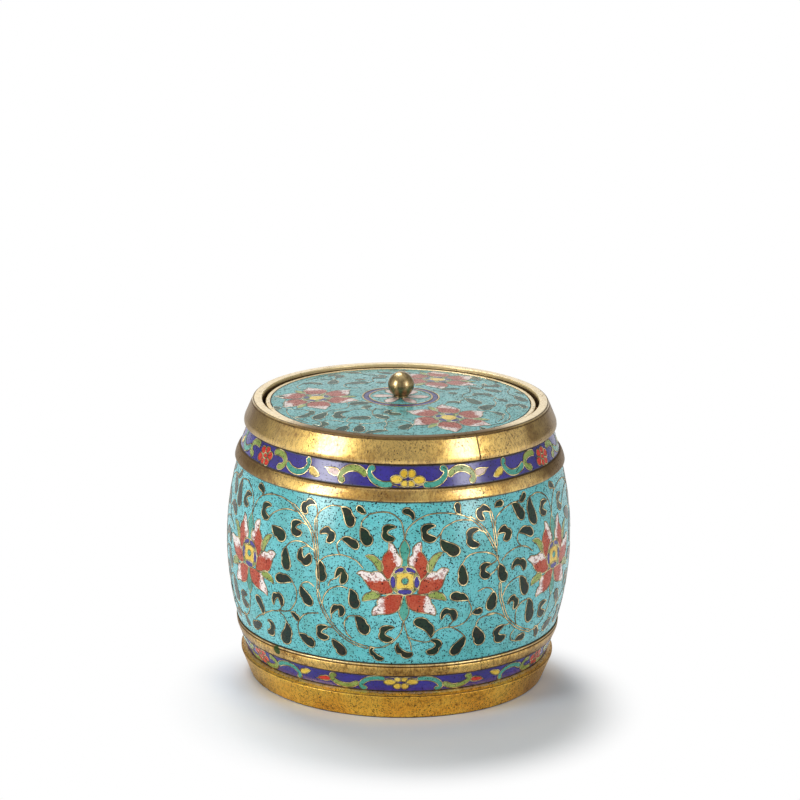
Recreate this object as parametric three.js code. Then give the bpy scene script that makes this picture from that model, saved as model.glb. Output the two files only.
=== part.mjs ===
// A barrel-shaped cloisonne jar with a lift-off lid, in millimetres, +Z up.
// The origin is the middle of the foot's underside, on the surface that the jar stands on.
// A beaten copper wall carries three bands of enamel, held between four gilt bronze rings.
// The lid is a slightly crowned enamelled plate in a gilt edge ring. It drops into the rim
// and rests on a ledge.
import * as THREE from "three";

// The driving dimensions.
const HEIGHT = 100; // foot to the rim's top face
const BELLY_R = 61; // the enamel's radius at mid height
const STAVE_R = 109.4; // radius of the barrel's upright curve
const ENAMEL = 1.0; // thickness of the fired enamel
const COPPER = 2.0; // thickness of the beaten wall
const SEAT = 0.1; // solder and fit line between neighbouring pieces
const MIDDLE = HEIGHT / 2;

// Borders between the bands, as distances from the middle.
const FIELD_HALF = 28.7; // the turquoise field ends here
const BAND_START = 33.5; // a blue band starts here, beyond the moulding
const UPPER_BAND_END = 40.6; // and runs under the rim ring
const LOWER_BAND_END = 39.6; // or down to the foot ring
const BAND_PROUD = 0.5; // the blue bands bulge out of the barrel's curve

// The rim, the foot and the mouldings.
const RIM_TOP_R = 52.1;
const RIM_WIDE_R = 55.1;
const FOOT_WIDE_R = 56.0;
const FOOT_R = 52.3;
const MOUTH_R = 48.75; // bore of the rim ring, which the lid drops into
const FOOT_BORE_R = 45.5;
const WALL_TOP = 45.5; // the wall's edges, from the middle
const WALL_FOOT = 47.2;
const SHOULDER_PROUD = 1.35; // how far each moulding stands out of the barrel's curve
const LOWER_PROUD = 0.85;

// The lid.
const LID_TOP = 98.9; // the enamel's edge, a little below the rim
const CROWN = 1.8; // and how much higher its middle is
const LID_R = 47.6;
const LID_FIELD_R = 45.6; // radius of the enamel's edge
const LEDGE_TOP = 95.6;
const LEDGE_R = 43.6; // bore of the ledge
const LID_PLATE = 1.2;
const BLUE_RING_R = 13.2; // outer radius of the blue ring round the knop
const BLUE_RING_BORE_R = 11.2;
const WIRE = 0.4; // width of a cloison wire
const KNOP_R = 4.6;
const KNOP_WALL = 0.8;
const KNOP_CENTRE = 104.95;
const SHANK_R = 1.2;

const ROUND = 48; // facets round a large piece
const SMALL_ROUND = 24; // facets round a small piece
const ARC_STEP = 7.2; // height of one step along the barrel's curve
const CROWN_STEP = 12; // length of one step along the lid's curve

const GILT = { color: 0xc79a3c, roughness: 0.35, metalness: 1.0 };
const COPPER_METAL = { color: 0xa8613a, roughness: 0.5, metalness: 1.0 };
const TURQUOISE = { color: 0x4fb9be, roughness: 0.3, metalness: 0.0 };
const BLUE = { color: 0x2f2a96, roughness: 0.25, metalness: 0.0 };

const point = (r, z) => new THREE.Vector2(r, z);

// Points between two values of a curve, both ends included.
function along(from, to, stepLength, curve) {
  const steps = Math.max(1, Math.round(Math.abs(to - from) / stepLength));
  return Array.from({ length: steps + 1 }, (_, i) => curve(from + ((to - from) * i) / steps));
}

// Radius of the barrel's curve at a distance from its middle.
const staveR = (fromMiddle) =>
  BELLY_R - (STAVE_R - Math.sqrt(STAVE_R ** 2 - fromMiddle ** 2));

// Points up the barrel's curve, at a depth below it.
const stave = (from, to, depth) =>
  along(from, to, ARC_STEP, (h) => point(staveR(h) - depth, MIDDLE + h));

// A turned piece: its closed outline, listed so that the piece lies to the left of it.
function turned(name, look, outline, facets = ROUND) {
  const closed = outline[0].x === 0 ? outline : [...outline, outline[0]];
  const shape = new THREE.LatheGeometry(closed, facets).rotateX(Math.PI / 2);
  const mesh = new THREE.Mesh(shape, new THREE.MeshStandardMaterial(look));
  mesh.name = name;
  return mesh;
}

// A flat washer of square section.
const washer = (name, look, bore, r, bottom, top) =>
  turned(
    name,
    look,
    [point(bore, bottom), point(r, bottom), point(r, top), point(bore, top)],
    SMALL_ROUND,
  );

// A layer that follows the barrel between two heights and two depths.
const shell = (name, look, from, to, inner, outer) =>
  turned(name, look, [...stave(from, to, outer), ...stave(to, from, inner)]);

// The wall of the vessel, open at both ends.
const vesselWall = () =>
  shell("vessel_wall", COPPER_METAL, -WALL_FOOT, WALL_TOP, ENAMEL + COPPER, ENAMEL);

// The floor, dropped into the wall's foot and resting on the foot ring's step.
function basePlate() {
  const bottom = MIDDLE - WALL_FOOT;
  const top = bottom + 1.6;
  const r = staveR(WALL_FOOT) - ENAMEL - COPPER - SEAT;
  const outline = [point(0, bottom), point(r, bottom), point(r, top), point(0, top)];
  return turned("base_plate", COPPER_METAL, outline);
}

// The three enamel bands. The blue ones are thicker and stand a little proud.
const BACK = ENAMEL - SEAT; // depth of the back of every enamel band and ring
const enamelField = () => shell("field_enamel", TURQUOISE, -FIELD_HALF, FIELD_HALF, BACK, 0);
const enamelBand = (name, from, to) => shell(name, BLUE, from, to, BACK, -BAND_PROUD);

// A gilt moulding soldered round the wall, its widest line nearer to the turquoise field.
function moulding(name, side, proud) {
  const near = FIELD_HALF + SEAT;
  const far = BAND_START - SEAT;
  const at = (h, out) => point(staveR(h) + out, MIDDLE + side * h);
  const outline = [
    at(near, -BACK),
    at(near, proud * 0.4),
    at(near + 0.3, proud * 0.8),
    at(near + 1.2, proud),
    at(near + 2.7, proud * 0.85),
    at(far - 0.5, proud * 0.55 + BAND_PROUD * 0.4),
    at(far, BAND_PROUD),
    at(far, -BACK),
  ];
  return turned(name, GILT, side > 0 ? outline : outline.reverse());
}

// The rim: it caps the wall's top edge, and its outer face leans in towards the mouth.
function rimRing() {
  const under = MIDDLE + UPPER_BAND_END + SEAT;
  const cap = MIDDLE + WALL_TOP + SEAT;
  const bandR = staveR(UPPER_BAND_END);
  return turned("rim_ring", GILT, [
    point(bandR - BACK, under),
    point(bandR + BAND_PROUD + 0.1, under),
    point(RIM_WIDE_R - 0.55, under + 0.35),
    point(RIM_WIDE_R - 0.05, under + 1.1),
    point(RIM_WIDE_R - 0.1, under + 2.0),
    point(RIM_TOP_R + 0.25, HEIGHT - 0.7),
    point(RIM_TOP_R - 0.3, HEIGHT),
    point(MOUTH_R + 0.3, HEIGHT),
    point(MOUTH_R, HEIGHT - 0.3),
    point(MOUTH_R, cap),
    point(staveR(WALL_TOP) - BACK, cap),
  ]);
}

// The foot: it stands on its flat underside and holds the wall and the floor on an inner step.
function footRing() {
  const top = MIDDLE - LOWER_BAND_END - SEAT;
  const step = MIDDLE - WALL_FOOT - SEAT;
  const bandR = staveR(LOWER_BAND_END);
  return turned("foot_ring", GILT, [
    point(FOOT_BORE_R, 0),
    point(FOOT_R - 0.4, 0),
    point(FOOT_R, 0.4),
    point(FOOT_WIDE_R - 0.2, top - 2.4),
    point(FOOT_WIDE_R, top - 1.6),
    point(FOOT_WIDE_R - 0.15, top - 1.1),
    point(bandR + BAND_PROUD + 0.2, top),
    point(bandR - BACK, top),
    point(staveR(WALL_FOOT) - BACK, step),
    point(FOOT_BORE_R, step),
  ]);
}

// The ledge soldered inside the mouth, which the lid rests on.
function mouthLedge() {
  const r = staveR(WALL_TOP - 0.5) - ENAMEL - COPPER - SEAT;
  return turned("mouth_ledge", GILT, [
    point(LEDGE_R, LEDGE_TOP - 1.6),
    point(r - 1.6, LEDGE_TOP - 1.6),
    point(r, LEDGE_TOP - 3.2),
    point(r, LEDGE_TOP - 0.4),
    point(r - 0.4, LEDGE_TOP),
    point(LEDGE_R, LEDGE_TOP),
  ]);
}

function jar() {
  const group = new THREE.Group();
  group.add(
    vesselWall(),
    basePlate(),
    enamelField(),
    enamelBand("upper_band_enamel", BAND_START, UPPER_BAND_END),
    enamelBand("lower_band_enamel", -LOWER_BAND_END, -BAND_START),
    rimRing(),
    moulding("shoulder_moulding", 1, SHOULDER_PROUD),
    moulding("lower_moulding", -1, LOWER_PROUD),
    footRing(),
    mouthLedge(),
  );
  return group;
}

// Height of the lid's crowned face at a radius.
const crownZ = (r) => LID_TOP + CROWN * (1 - (r / LID_FIELD_R) ** 2);

// A layer of the lid between two radii and two depths below its crowned face.
function lidLayer(name, look, bore, r, bottomDepth, topDepth) {
  const face = (from, to, depth) =>
    along(from, to, CROWN_STEP, (at) => point(at, crownZ(at) - depth));
  return turned(name, look, [...face(bore, r, bottomDepth), ...face(r, bore, topDepth)]);
}

// The lid's gilt edge: a ring with an inward flange that carries the plate.
function lidEdgeRing() {
  const flangeR = LEDGE_R + 0.6;
  const flangeTop = crownZ(LID_FIELD_R) - ENAMEL - LID_PLATE - SEAT;
  const bore = LID_FIELD_R + SEAT;
  return turned("lid_edge_ring", GILT, [
    point(flangeR, LEDGE_TOP + SEAT),
    point(LID_R - 0.2, LEDGE_TOP + SEAT),
    point(LID_R, LEDGE_TOP + SEAT + 0.2),
    point(LID_R, LID_TOP - 0.35),
    point(LID_R - 0.35, LID_TOP),
    point(bore + 0.3, LID_TOP + 0.05),
    point(bore, LID_TOP - 0.1),
    point(bore, flangeTop),
    point(flangeR, flangeTop),
  ]);
}

// Points along an arc about the knop's centre, between two angles above the horizontal.
function knopArc(r, from, to) {
  const steps = 6;
  return Array.from({ length: steps + 1 }, (_, i) => {
    const angle = from + ((to - from) * i) / steps;
    const x = r * Math.cos(angle);
    return point(x < 1e-9 ? 0 : x, KNOP_CENTRE + r * Math.sin(angle));
  });
}

// The knop: a hollow ball of two soldered cups, on a collar, held by a riveted shank.
function knop() {
  const bore = KNOP_R - KNOP_WALL;
  const collarTop = crownZ(0) + 0.35;
  const sole = collarTop + 0.05; // where the ball's rounded underside ends
  const seam = (r) => Math.asin(SEAT / 2 / r);
  const soleAngle = -Math.asin((KNOP_CENTRE - sole) / KNOP_R);
  const upper = turned(
    "knop_upper_cup",
    GILT,
    [...knopArc(KNOP_R, seam(KNOP_R), Math.PI / 2), ...knopArc(bore, Math.PI / 2, seam(bore))],
    SMALL_ROUND,
  );
  const boreFloor = sole + KNOP_WALL;
  const lower = turned(
    "knop_lower_cup",
    GILT,
    [
      point(SHANK_R + SEAT, sole),
      ...knopArc(KNOP_R, soleAngle, -seam(KNOP_R)),
      ...knopArc(bore, -seam(bore), -Math.asin((KNOP_CENTRE - boreFloor) / bore)),
      point(SHANK_R + SEAT, boreFloor),
    ],
    SMALL_ROUND,
  );
  const collar = washer("knop_collar", GILT, SHANK_R + SEAT, 2.6, crownZ(0) + 0.05, collarTop);
  const under = crownZ(0) - ENAMEL - LID_PLATE;
  const backing = washer("rivet_washer", GILT, SHANK_R + SEAT, 4.2, under - 0.9, under - SEAT);
  const shankTop = KNOP_CENTRE + bore - 0.4;
  const shank = turned(
    "knop_shank",
    COPPER_METAL,
    [
      point(0, under - 1.9),
      point(1.6, under - 1.8),
      point(2.1, under - 1.0),
      point(SHANK_R, under - 0.95),
      point(SHANK_R, shankTop),
      point(0, shankTop),
    ],
    SMALL_ROUND,
  );
  return [upper, lower, collar, backing, shank];
}

function lid() {
  const group = new THREE.Group();
  const hole = SHANK_R + SEAT;
  const inlay = (name, look, bore, r) => lidLayer(name, look, bore, r, BACK, 0);
  const outerWire = BLUE_RING_R + WIRE;
  const innerWire = BLUE_RING_BORE_R - WIRE;
  group.add(
    lidLayer("lid_plate", COPPER_METAL, hole, LID_FIELD_R, ENAMEL + LID_PLATE, ENAMEL),
    lidEdgeRing(),
    inlay("lid_field_enamel", TURQUOISE, outerWire, LID_FIELD_R),
    inlay("lid_outer_wire", GILT, BLUE_RING_R + 0.05, outerWire - 0.05),
    inlay("lid_blue_ring_enamel", BLUE, BLUE_RING_BORE_R, BLUE_RING_R),
    inlay("lid_inner_wire", GILT, innerWire + 0.05, BLUE_RING_BORE_R - 0.05),
    inlay("lid_centre_enamel", TURQUOISE, hole, innerWire),
    ...knop(),
  );
  return group;
}

const cloisonneJar = new THREE.Group();
cloisonneJar.add(jar(), lid());

export default cloisonneJar;
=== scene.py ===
"""The looks of a barrel-shaped cloisonne jar with a lift-off lid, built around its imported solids."""

from __future__ import annotations

import logging
import math
from dataclasses import dataclass, field
from enum import Enum
from typing import Callable, Iterable, Mapping, Sequence, Union

import bpy
from mathutils import Matrix, Vector
from mathutils.geometry import delaunay_2d_cdt

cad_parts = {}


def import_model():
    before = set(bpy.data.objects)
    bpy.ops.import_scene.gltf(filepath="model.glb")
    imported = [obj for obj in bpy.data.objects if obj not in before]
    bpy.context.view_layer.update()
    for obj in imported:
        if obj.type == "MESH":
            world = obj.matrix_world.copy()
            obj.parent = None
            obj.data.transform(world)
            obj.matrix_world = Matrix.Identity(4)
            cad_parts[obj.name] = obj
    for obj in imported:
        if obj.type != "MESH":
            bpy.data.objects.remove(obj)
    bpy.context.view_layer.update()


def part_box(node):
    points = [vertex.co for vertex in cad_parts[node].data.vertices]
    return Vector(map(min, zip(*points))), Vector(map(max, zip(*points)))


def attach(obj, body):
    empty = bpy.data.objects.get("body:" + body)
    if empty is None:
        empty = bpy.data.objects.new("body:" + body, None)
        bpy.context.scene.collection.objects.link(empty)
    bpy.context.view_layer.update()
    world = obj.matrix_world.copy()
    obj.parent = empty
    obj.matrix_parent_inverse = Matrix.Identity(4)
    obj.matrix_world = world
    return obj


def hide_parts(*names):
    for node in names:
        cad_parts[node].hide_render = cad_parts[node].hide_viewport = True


log = logging.getLogger("jar")
MM = 0.001
JAR = "jar"
LID = "lid"

Value = Union["Sock", float, int, Sequence[float]]
Point = tuple[float, float]
Corner = tuple[float, float, float]
Spot = tuple[float, float, float]
Colour = tuple[float, float, float]
Row = tuple[float, ...]
Line = tuple[Point, Point]
Reach = Callable[[float], float]


class Glass(Enum):
    """The enamel colours, each by its material slot."""

    RED = "red_enamel"
    WHITE = "white_enamel"
    OLIVE = "olive_enamel"
    YELLOW = "yellow_enamel"
    COBALT = "cobalt_enamel"
    TEAL = "teal_enamel"
    DARK = "dark_green_enamel"


class Wires(Enum):
    """The families of cloison wire."""

    FLOWER = "flower_wires"
    LEAF = "leaf_wires"
    STEM = "stem_wires"


# Node trees


def worked_out(operation: str, reflected: bool = False) -> Callable[[Sock, Value], Sock]:
    """Writes an operator that adds a Math node, or a Vector Math node where the socket holds a vector.

    Args:
        operation: The node's operation.
        reflected: Whether the socket is the second operand.

    Returns:
        The operator.
    """

    def method(self: Sock, other: Value) -> Sock:
        """The node's result."""
        vector = self.socket.type in ("VECTOR", "RGBA")
        pair = [other, self] if reflected else [self, other]
        if vector:
            pair = [(p, p, p) if isinstance(p, (int, float)) else p for p in pair]
        kind = "ShaderNodeVectorMath" if vector else "ShaderNodeMath"
        return self.graph.node(kind, {"operation": operation}, dict(enumerate(pair)))

    return method


class Sock:
    """A node's output. Python's operators on it add the nodes that work them out."""

    __add__, __radd__ = worked_out("ADD"), worked_out("ADD", True)
    __sub__, __rsub__ = worked_out("SUBTRACT"), worked_out("SUBTRACT", True)
    __mul__, __rmul__ = worked_out("MULTIPLY"), worked_out("MULTIPLY", True)
    __truediv__, __rtruediv__ = worked_out("DIVIDE"), worked_out("DIVIDE", True)
    most = worked_out("MAXIMUM")

    def __init__(self, graph: Graph, socket: bpy.types.NodeSocket) -> None:
        """Keeps the graph and the output socket."""
        self.graph = graph
        self.socket = socket

    def apply(self, operation: str) -> Sock:
        """A Math node of one operand, such as SINE or SQRT."""
        return self.graph.node("ShaderNodeMath", {"operation": operation}, {0: self})

    def channel(self, index: int) -> Sock:
        """One of the three numbers of a vector or colour."""
        kind = "ShaderNodeSeparateColor" if self.socket.type == "RGBA" else "ShaderNodeSeparateXYZ"
        return self.graph.node(kind, {}, {0: self}, index)

    def beside(self, output: str) -> Sock:
        """Another output of the same node."""
        return Sock(self.graph, self.socket.node.outputs[output])

    def rising(self, low: float, high: float) -> Sock:
        """A smooth step from 0 at low to 1 at high."""
        return self.graph.node(
            "ShaderNodeMapRange",
            {"interpolation_type": "SMOOTHSTEP", "clamp": True},
            {"Value": self, "From Min": low, "From Max": high},
        )

    def falling(self, low: float, high: float) -> Sock:
        """A smooth step from 1 at low to 0 at high."""
        return 1.0 - self.rising(low, high)


class Graph:
    """A node tree that is written node by node."""

    def __init__(self, tree: bpy.types.NodeTree) -> None:
        """Keeps the tree."""
        self.tree = tree

    def node(
        self,
        kind: str,
        settings: Mapping[str, object] | None = None,
        sockets: Mapping[str | int, Value] | None = None,
        out: str | int = 0,
    ) -> Sock:
        """Adds one node.

        Args:
            kind: The node's type.
            settings: The node's own settings, set first.
            sockets: Values or links of its inputs, by name or index.
            out: The output that is returned.

        Returns:
            The output, wrapped.
        """
        made = self.tree.nodes.new(kind)
        for key, setting in (settings or {}).items():
            setattr(made, key, setting)
        for key, given in (sockets or {}).items():
            self.feed(made.inputs[key], given)
        return Sock(self, made.outputs[out])

    def feed(self, socket: bpy.types.NodeSocket, given: Value) -> None:
        """Links or sets one input socket."""
        if isinstance(given, Sock):
            self.tree.links.new(given.socket, socket)
        elif socket.type == "RGBA" and len(given) == 3:
            socket.default_value = (*given, 1.0)
        else:
            socket.default_value = given

    def mix(self, share: Value, first: Value, second: Value) -> Sock:
        """Blends two colours. The share is how much of the second one shows."""
        return self.node("ShaderNodeMix", {"data_type": "RGBA"}, {0: share, 6: first, 7: second}, 2)

    def vector(self, x: Value, y: Value, z: Value) -> Sock:
        """A vector of three numbers."""
        return self.node("ShaderNodeCombineXYZ", {}, {0: x, 1: y, 2: z})

    def ray(self, name: str) -> Sock:
        """Whether light was sent out as one kind of ray, such as Is Camera Ray."""
        return self.node("ShaderNodeLightPath", out=name)


class Paint(Graph):
    """The node tree of one material, with a Principled shader and coordinates in millimetres."""

    def __init__(self, name: str) -> None:
        """Starts an empty material of that name."""
        self.material = bpy.data.materials.new(name)
        self.material.use_nodes = True
        super().__init__(self.material.node_tree)
        self.shader = self.tree.nodes["Principled BSDF"]
        self.surface = Sock(self, self.shader.outputs[0])
        self.place = self.node("ShaderNodeTexCoord", out="Object") * (1 / MM)
        self.x, self.y, self.level = (self.place.channel(axis) for axis in range(3))

    def attribute(self, name: str) -> Sock:
        """A number stored on the piece."""
        return self.node("ShaderNodeAttribute", {"attribute_name": name}, out="Fac")

    def far(self) -> Sock:
        """The distance from the jar's axis."""
        return (self.x * self.x + self.y * self.y).apply("SQRT")

    def away(self, spot: Spot) -> Sock:
        """The distance from a place."""
        return self.node("ShaderNodeVectorMath", {"operation": "DISTANCE"}, {0: self.place, 1: spot}, "Value")

    def noise(
        self, scale: float, detail: float = 3.0, rough: float = 0.55, warp: float = 0.0, upright: float = 1.0
    ) -> Sock:
        """Fractal noise from 0 to 1.

        Args:
            scale: Cycles per millimetre.
            detail: How many finer layers it has.
            rough: How strong the finer layers are.
            warp: How far it is bent by itself.
            upright: Its scale up the jar, as a share. Less than 1 draws it out into upright strokes.

        Returns:
            The noise.
        """
        place = self.place if upright == 1.0 else self.place * (1.0, 1.0, upright)
        sockets = {"Vector": place, "Scale": scale, "Detail": detail, "Roughness": rough, "Distortion": warp}
        return self.node("ShaderNodeTexNoise", {"noise_dimensions": "3D"}, sockets)

    def specks(self, scale: float, size: float, share: float) -> Sock:
        """Irregular specks of mixed sizes, 1 inside and 0 outside.

        Args:
            scale: Cells per millimetre.
            size: Radius of the largest speck, as a share of a cell.
            share: The share of the cells that hold a speck.

        Returns:
            The mask.
        """
        fray = {"Vector": self.place, "Scale": scale * 2.6, "Detail": 2.0}
        ragged = self.place + self.node("ShaderNodeTexNoise", {}, fray, "Color") * (0.36 / scale)
        cell = {"Vector": ragged, "Scale": scale, "Randomness": 1.0}
        distance = self.node("ShaderNodeTexVoronoi", {"feature": "F1"}, cell, "Distance")
        tint = distance.beside("Color")
        radius = tint.channel(1) * tint.channel(1) * size + 0.04
        held = tint.channel(0).falling(share - 0.01, share + 0.01)
        return (distance / radius).falling(0.85, 1.15) * held

    def upright_line(self, ragged: Sock, degrees: float, wide: float) -> Sock:
        """The mask of a thin upright line at an angle round the axis."""
        sine, cosine = math.sin(math.radians(degrees)), math.cos(math.radians(degrees))
        line = ((self.x * cosine + self.y * sine).apply("ABSOLUTE") + ragged * 0.4).falling(wide, wide + 0.25)
        return line * (self.x * sine - self.y * cosine).rising(0.0, 1.0)

    def dark_lines(
        self, ragged: Sock, levels: Iterable[float], joints: Iterable[float] = (), rings: Iterable[float] = ()
    ) -> Sock:
        """Dark lines along levels, rings and joints, and scattered dark blotches: dirt, and painted shade where
        lines are set at the foot's base and under the rim.

        Args:
            ragged: Noise that frays the lines.
            levels: The levels of lines round the jar, in millimetres.
            joints: The places of upright joints round the axis, in degrees.
            rings: The radii of lines on a face that looks up.

        Returns:
            The mask.
        """
        darkening = ragged.rising(0.9, 1.0)
        for place, lines in ((self.level, levels), (self.far(), rings)):
            for at in lines:
                darkening = darkening.most(((place - at).apply("ABSOLUTE") + ragged * 0.5).falling(0.30, 0.62))
        for degrees in joints:
            darkening = darkening.most(self.upright_line(ragged, degrees, 0.3))
        return darkening

    def show(self, mask: Sock, other: Sock) -> None:
        """Lets another shader show through a mask."""
        self.surface = self.node("ShaderNodeMixShader", {}, {0: mask, 1: self.surface, 2: other})
        self.feed(self.tree.nodes["Material Output"].inputs["Surface"], self.surface)

    def hollow(self, mask: Sock, colour: Colour) -> None:
        """Lets a dull ground show through a mask, where no light is mirrored."""
        self.show(mask, self.node("ShaderNodeBsdfDiffuse", {}, {"Color": colour}))

    def finish(self, height: Sock | None = None, depth: float = 0.0, **sockets: Value) -> bpy.types.Material:
        """Feeds the shader and closes the material.

        Args:
            height: The height map of the bump, if there is one.
            depth: The bump's depth in millimetres.
            **sockets: Values for the shader, with spaces in their names as underscores.

        Returns:
            The material.
        """
        for name, given in sockets.items():
            self.feed(self.shader.inputs[name.replace("_", " ")], given)
        if height is not None:
            fed = {"Strength": 1.0, "Distance": depth * MM, "Height": height}
            self.feed(self.shader.inputs["Normal"], self.node("ShaderNodeBump", {}, fed, "Normal"))
        return self.material


class Recipe(Graph):
    """A Geometry Nodes tree with named inputs, which ends in Realize Instances and Set Material."""

    def __init__(self, name: str) -> None:
        """Starts the tree with a geometry input and output."""
        super().__init__(bpy.data.node_groups.new(name, "GeometryNodeTree"))
        face = self.tree.interface
        face.new_socket("Geometry", in_out="INPUT", socket_type="NodeSocketGeometry")
        face.new_socket("Geometry", in_out="OUTPUT", socket_type="NodeSocketGeometry")
        self.entry = self.tree.nodes.new("NodeGroupInput")
        self.material = self.input("Material", "NodeSocketMaterial")

    @property
    def geometry(self) -> Sock:
        """The geometry that comes in."""
        return Sock(self, self.entry.outputs["Geometry"])

    def input(self, name: str, kind: str = "NodeSocketFloat") -> Sock:
        """Adds a named input."""
        self.tree.interface.new_socket(name, in_out="INPUT", socket_type=kind)
        return Sock(self, self.entry.outputs[name])

    def close(self, geometry: Sock) -> None:
        """Ends the tree.

        Args:
            geometry: The geometry to realize and give its material.
        """
        real = self.node("GeometryNodeRealizeInstances", {}, {0: geometry})
        dressed = self.node("GeometryNodeSetMaterial", {}, {"Geometry": real, "Material": self.material})
        self.feed(self.tree.nodes.new("NodeGroupOutput").inputs[0], dressed)

    def cook(self, name: str, source: bpy.types.Mesh, values: Mapping[str, object]) -> bpy.types.Object:
        """Runs the tree on a mesh and keeps the result as a plain mesh.

        Args:
            name: The new piece's name.
            source: The mesh that goes in.
            values: The inputs' values by name.

        Returns:
            The new piece.
        """
        holder = place_object(name + "_source", source)
        modifier = holder.modifiers.new("recipe", "NODES")
        modifier.node_group = self.tree
        for item in self.tree.interface.items_tree:
            if item.in_out == "INPUT" and item.name in values:
                modifier[item.identifier] = values[item.name]
        evaluated = holder.evaluated_get(bpy.context.evaluated_depsgraph_get())
        mesh = bpy.data.meshes.new_from_object(evaluated)
        mesh.name = name
        holder.modifiers.clear()
        bpy.data.objects.remove(holder)
        mesh.shade_smooth()
        mesh.set_sharp_from_angle(angle=math.radians(50.0))
        return place_object(name, mesh)


def place_object(name: str, data: bpy.types.ID) -> bpy.types.Object:
    """Puts a mesh, lamp or camera into the scene, at the origin."""
    placed = bpy.data.objects.new(name, data)
    bpy.context.scene.collection.objects.link(placed)
    return placed


def settle(piece: bpy.types.Object, body: str, slot: str, *nodes: str) -> None:
    """Parents a piece to the body that carries it, hides the solids that it replaces and logs its material
    slot.

    Args:
        piece: The piece.
        body: The body that carries it.
        slot: Its material slot, which is logged.
        *nodes: The solids that it replaces.
    """
    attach(piece, body)
    if nodes:
        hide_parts(*nodes)
    log.info("%s: %d faces on %s, %s", piece.name, len(piece.data.polygons), body, slot)


# Finishes


NOWHERE = 200.0
PIT: Colour = (0.03, 0.014, 0.006)
# Dark of dirt lines and of painted shade, as in the gap round the lid.
DIRT_AND_SHADE: Colour = (0.03, 0.012, 0.005)
# Pale gold of rubbed metal, also used for painted highlights.
RUBBED_AND_HIGHLIGHT: Colour = (0.88, 0.71, 0.39)
# Cream of the painted highlight on the bore above the gap.
BORE_HIGHLIGHT: Colour = (0.62, 0.50, 0.28)
# Brown of the painted shade on the jar's sides, where the gilding mirrors little light.
SIDE_SHADE_BROWN: Colour = (0.115, 0.070, 0.028)
VERDIGRIS: Colour = (0.035, 0.075, 0.014)
VERDIGRIS_CRUST: Colour = (0.020, 0.050, 0.010)


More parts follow.
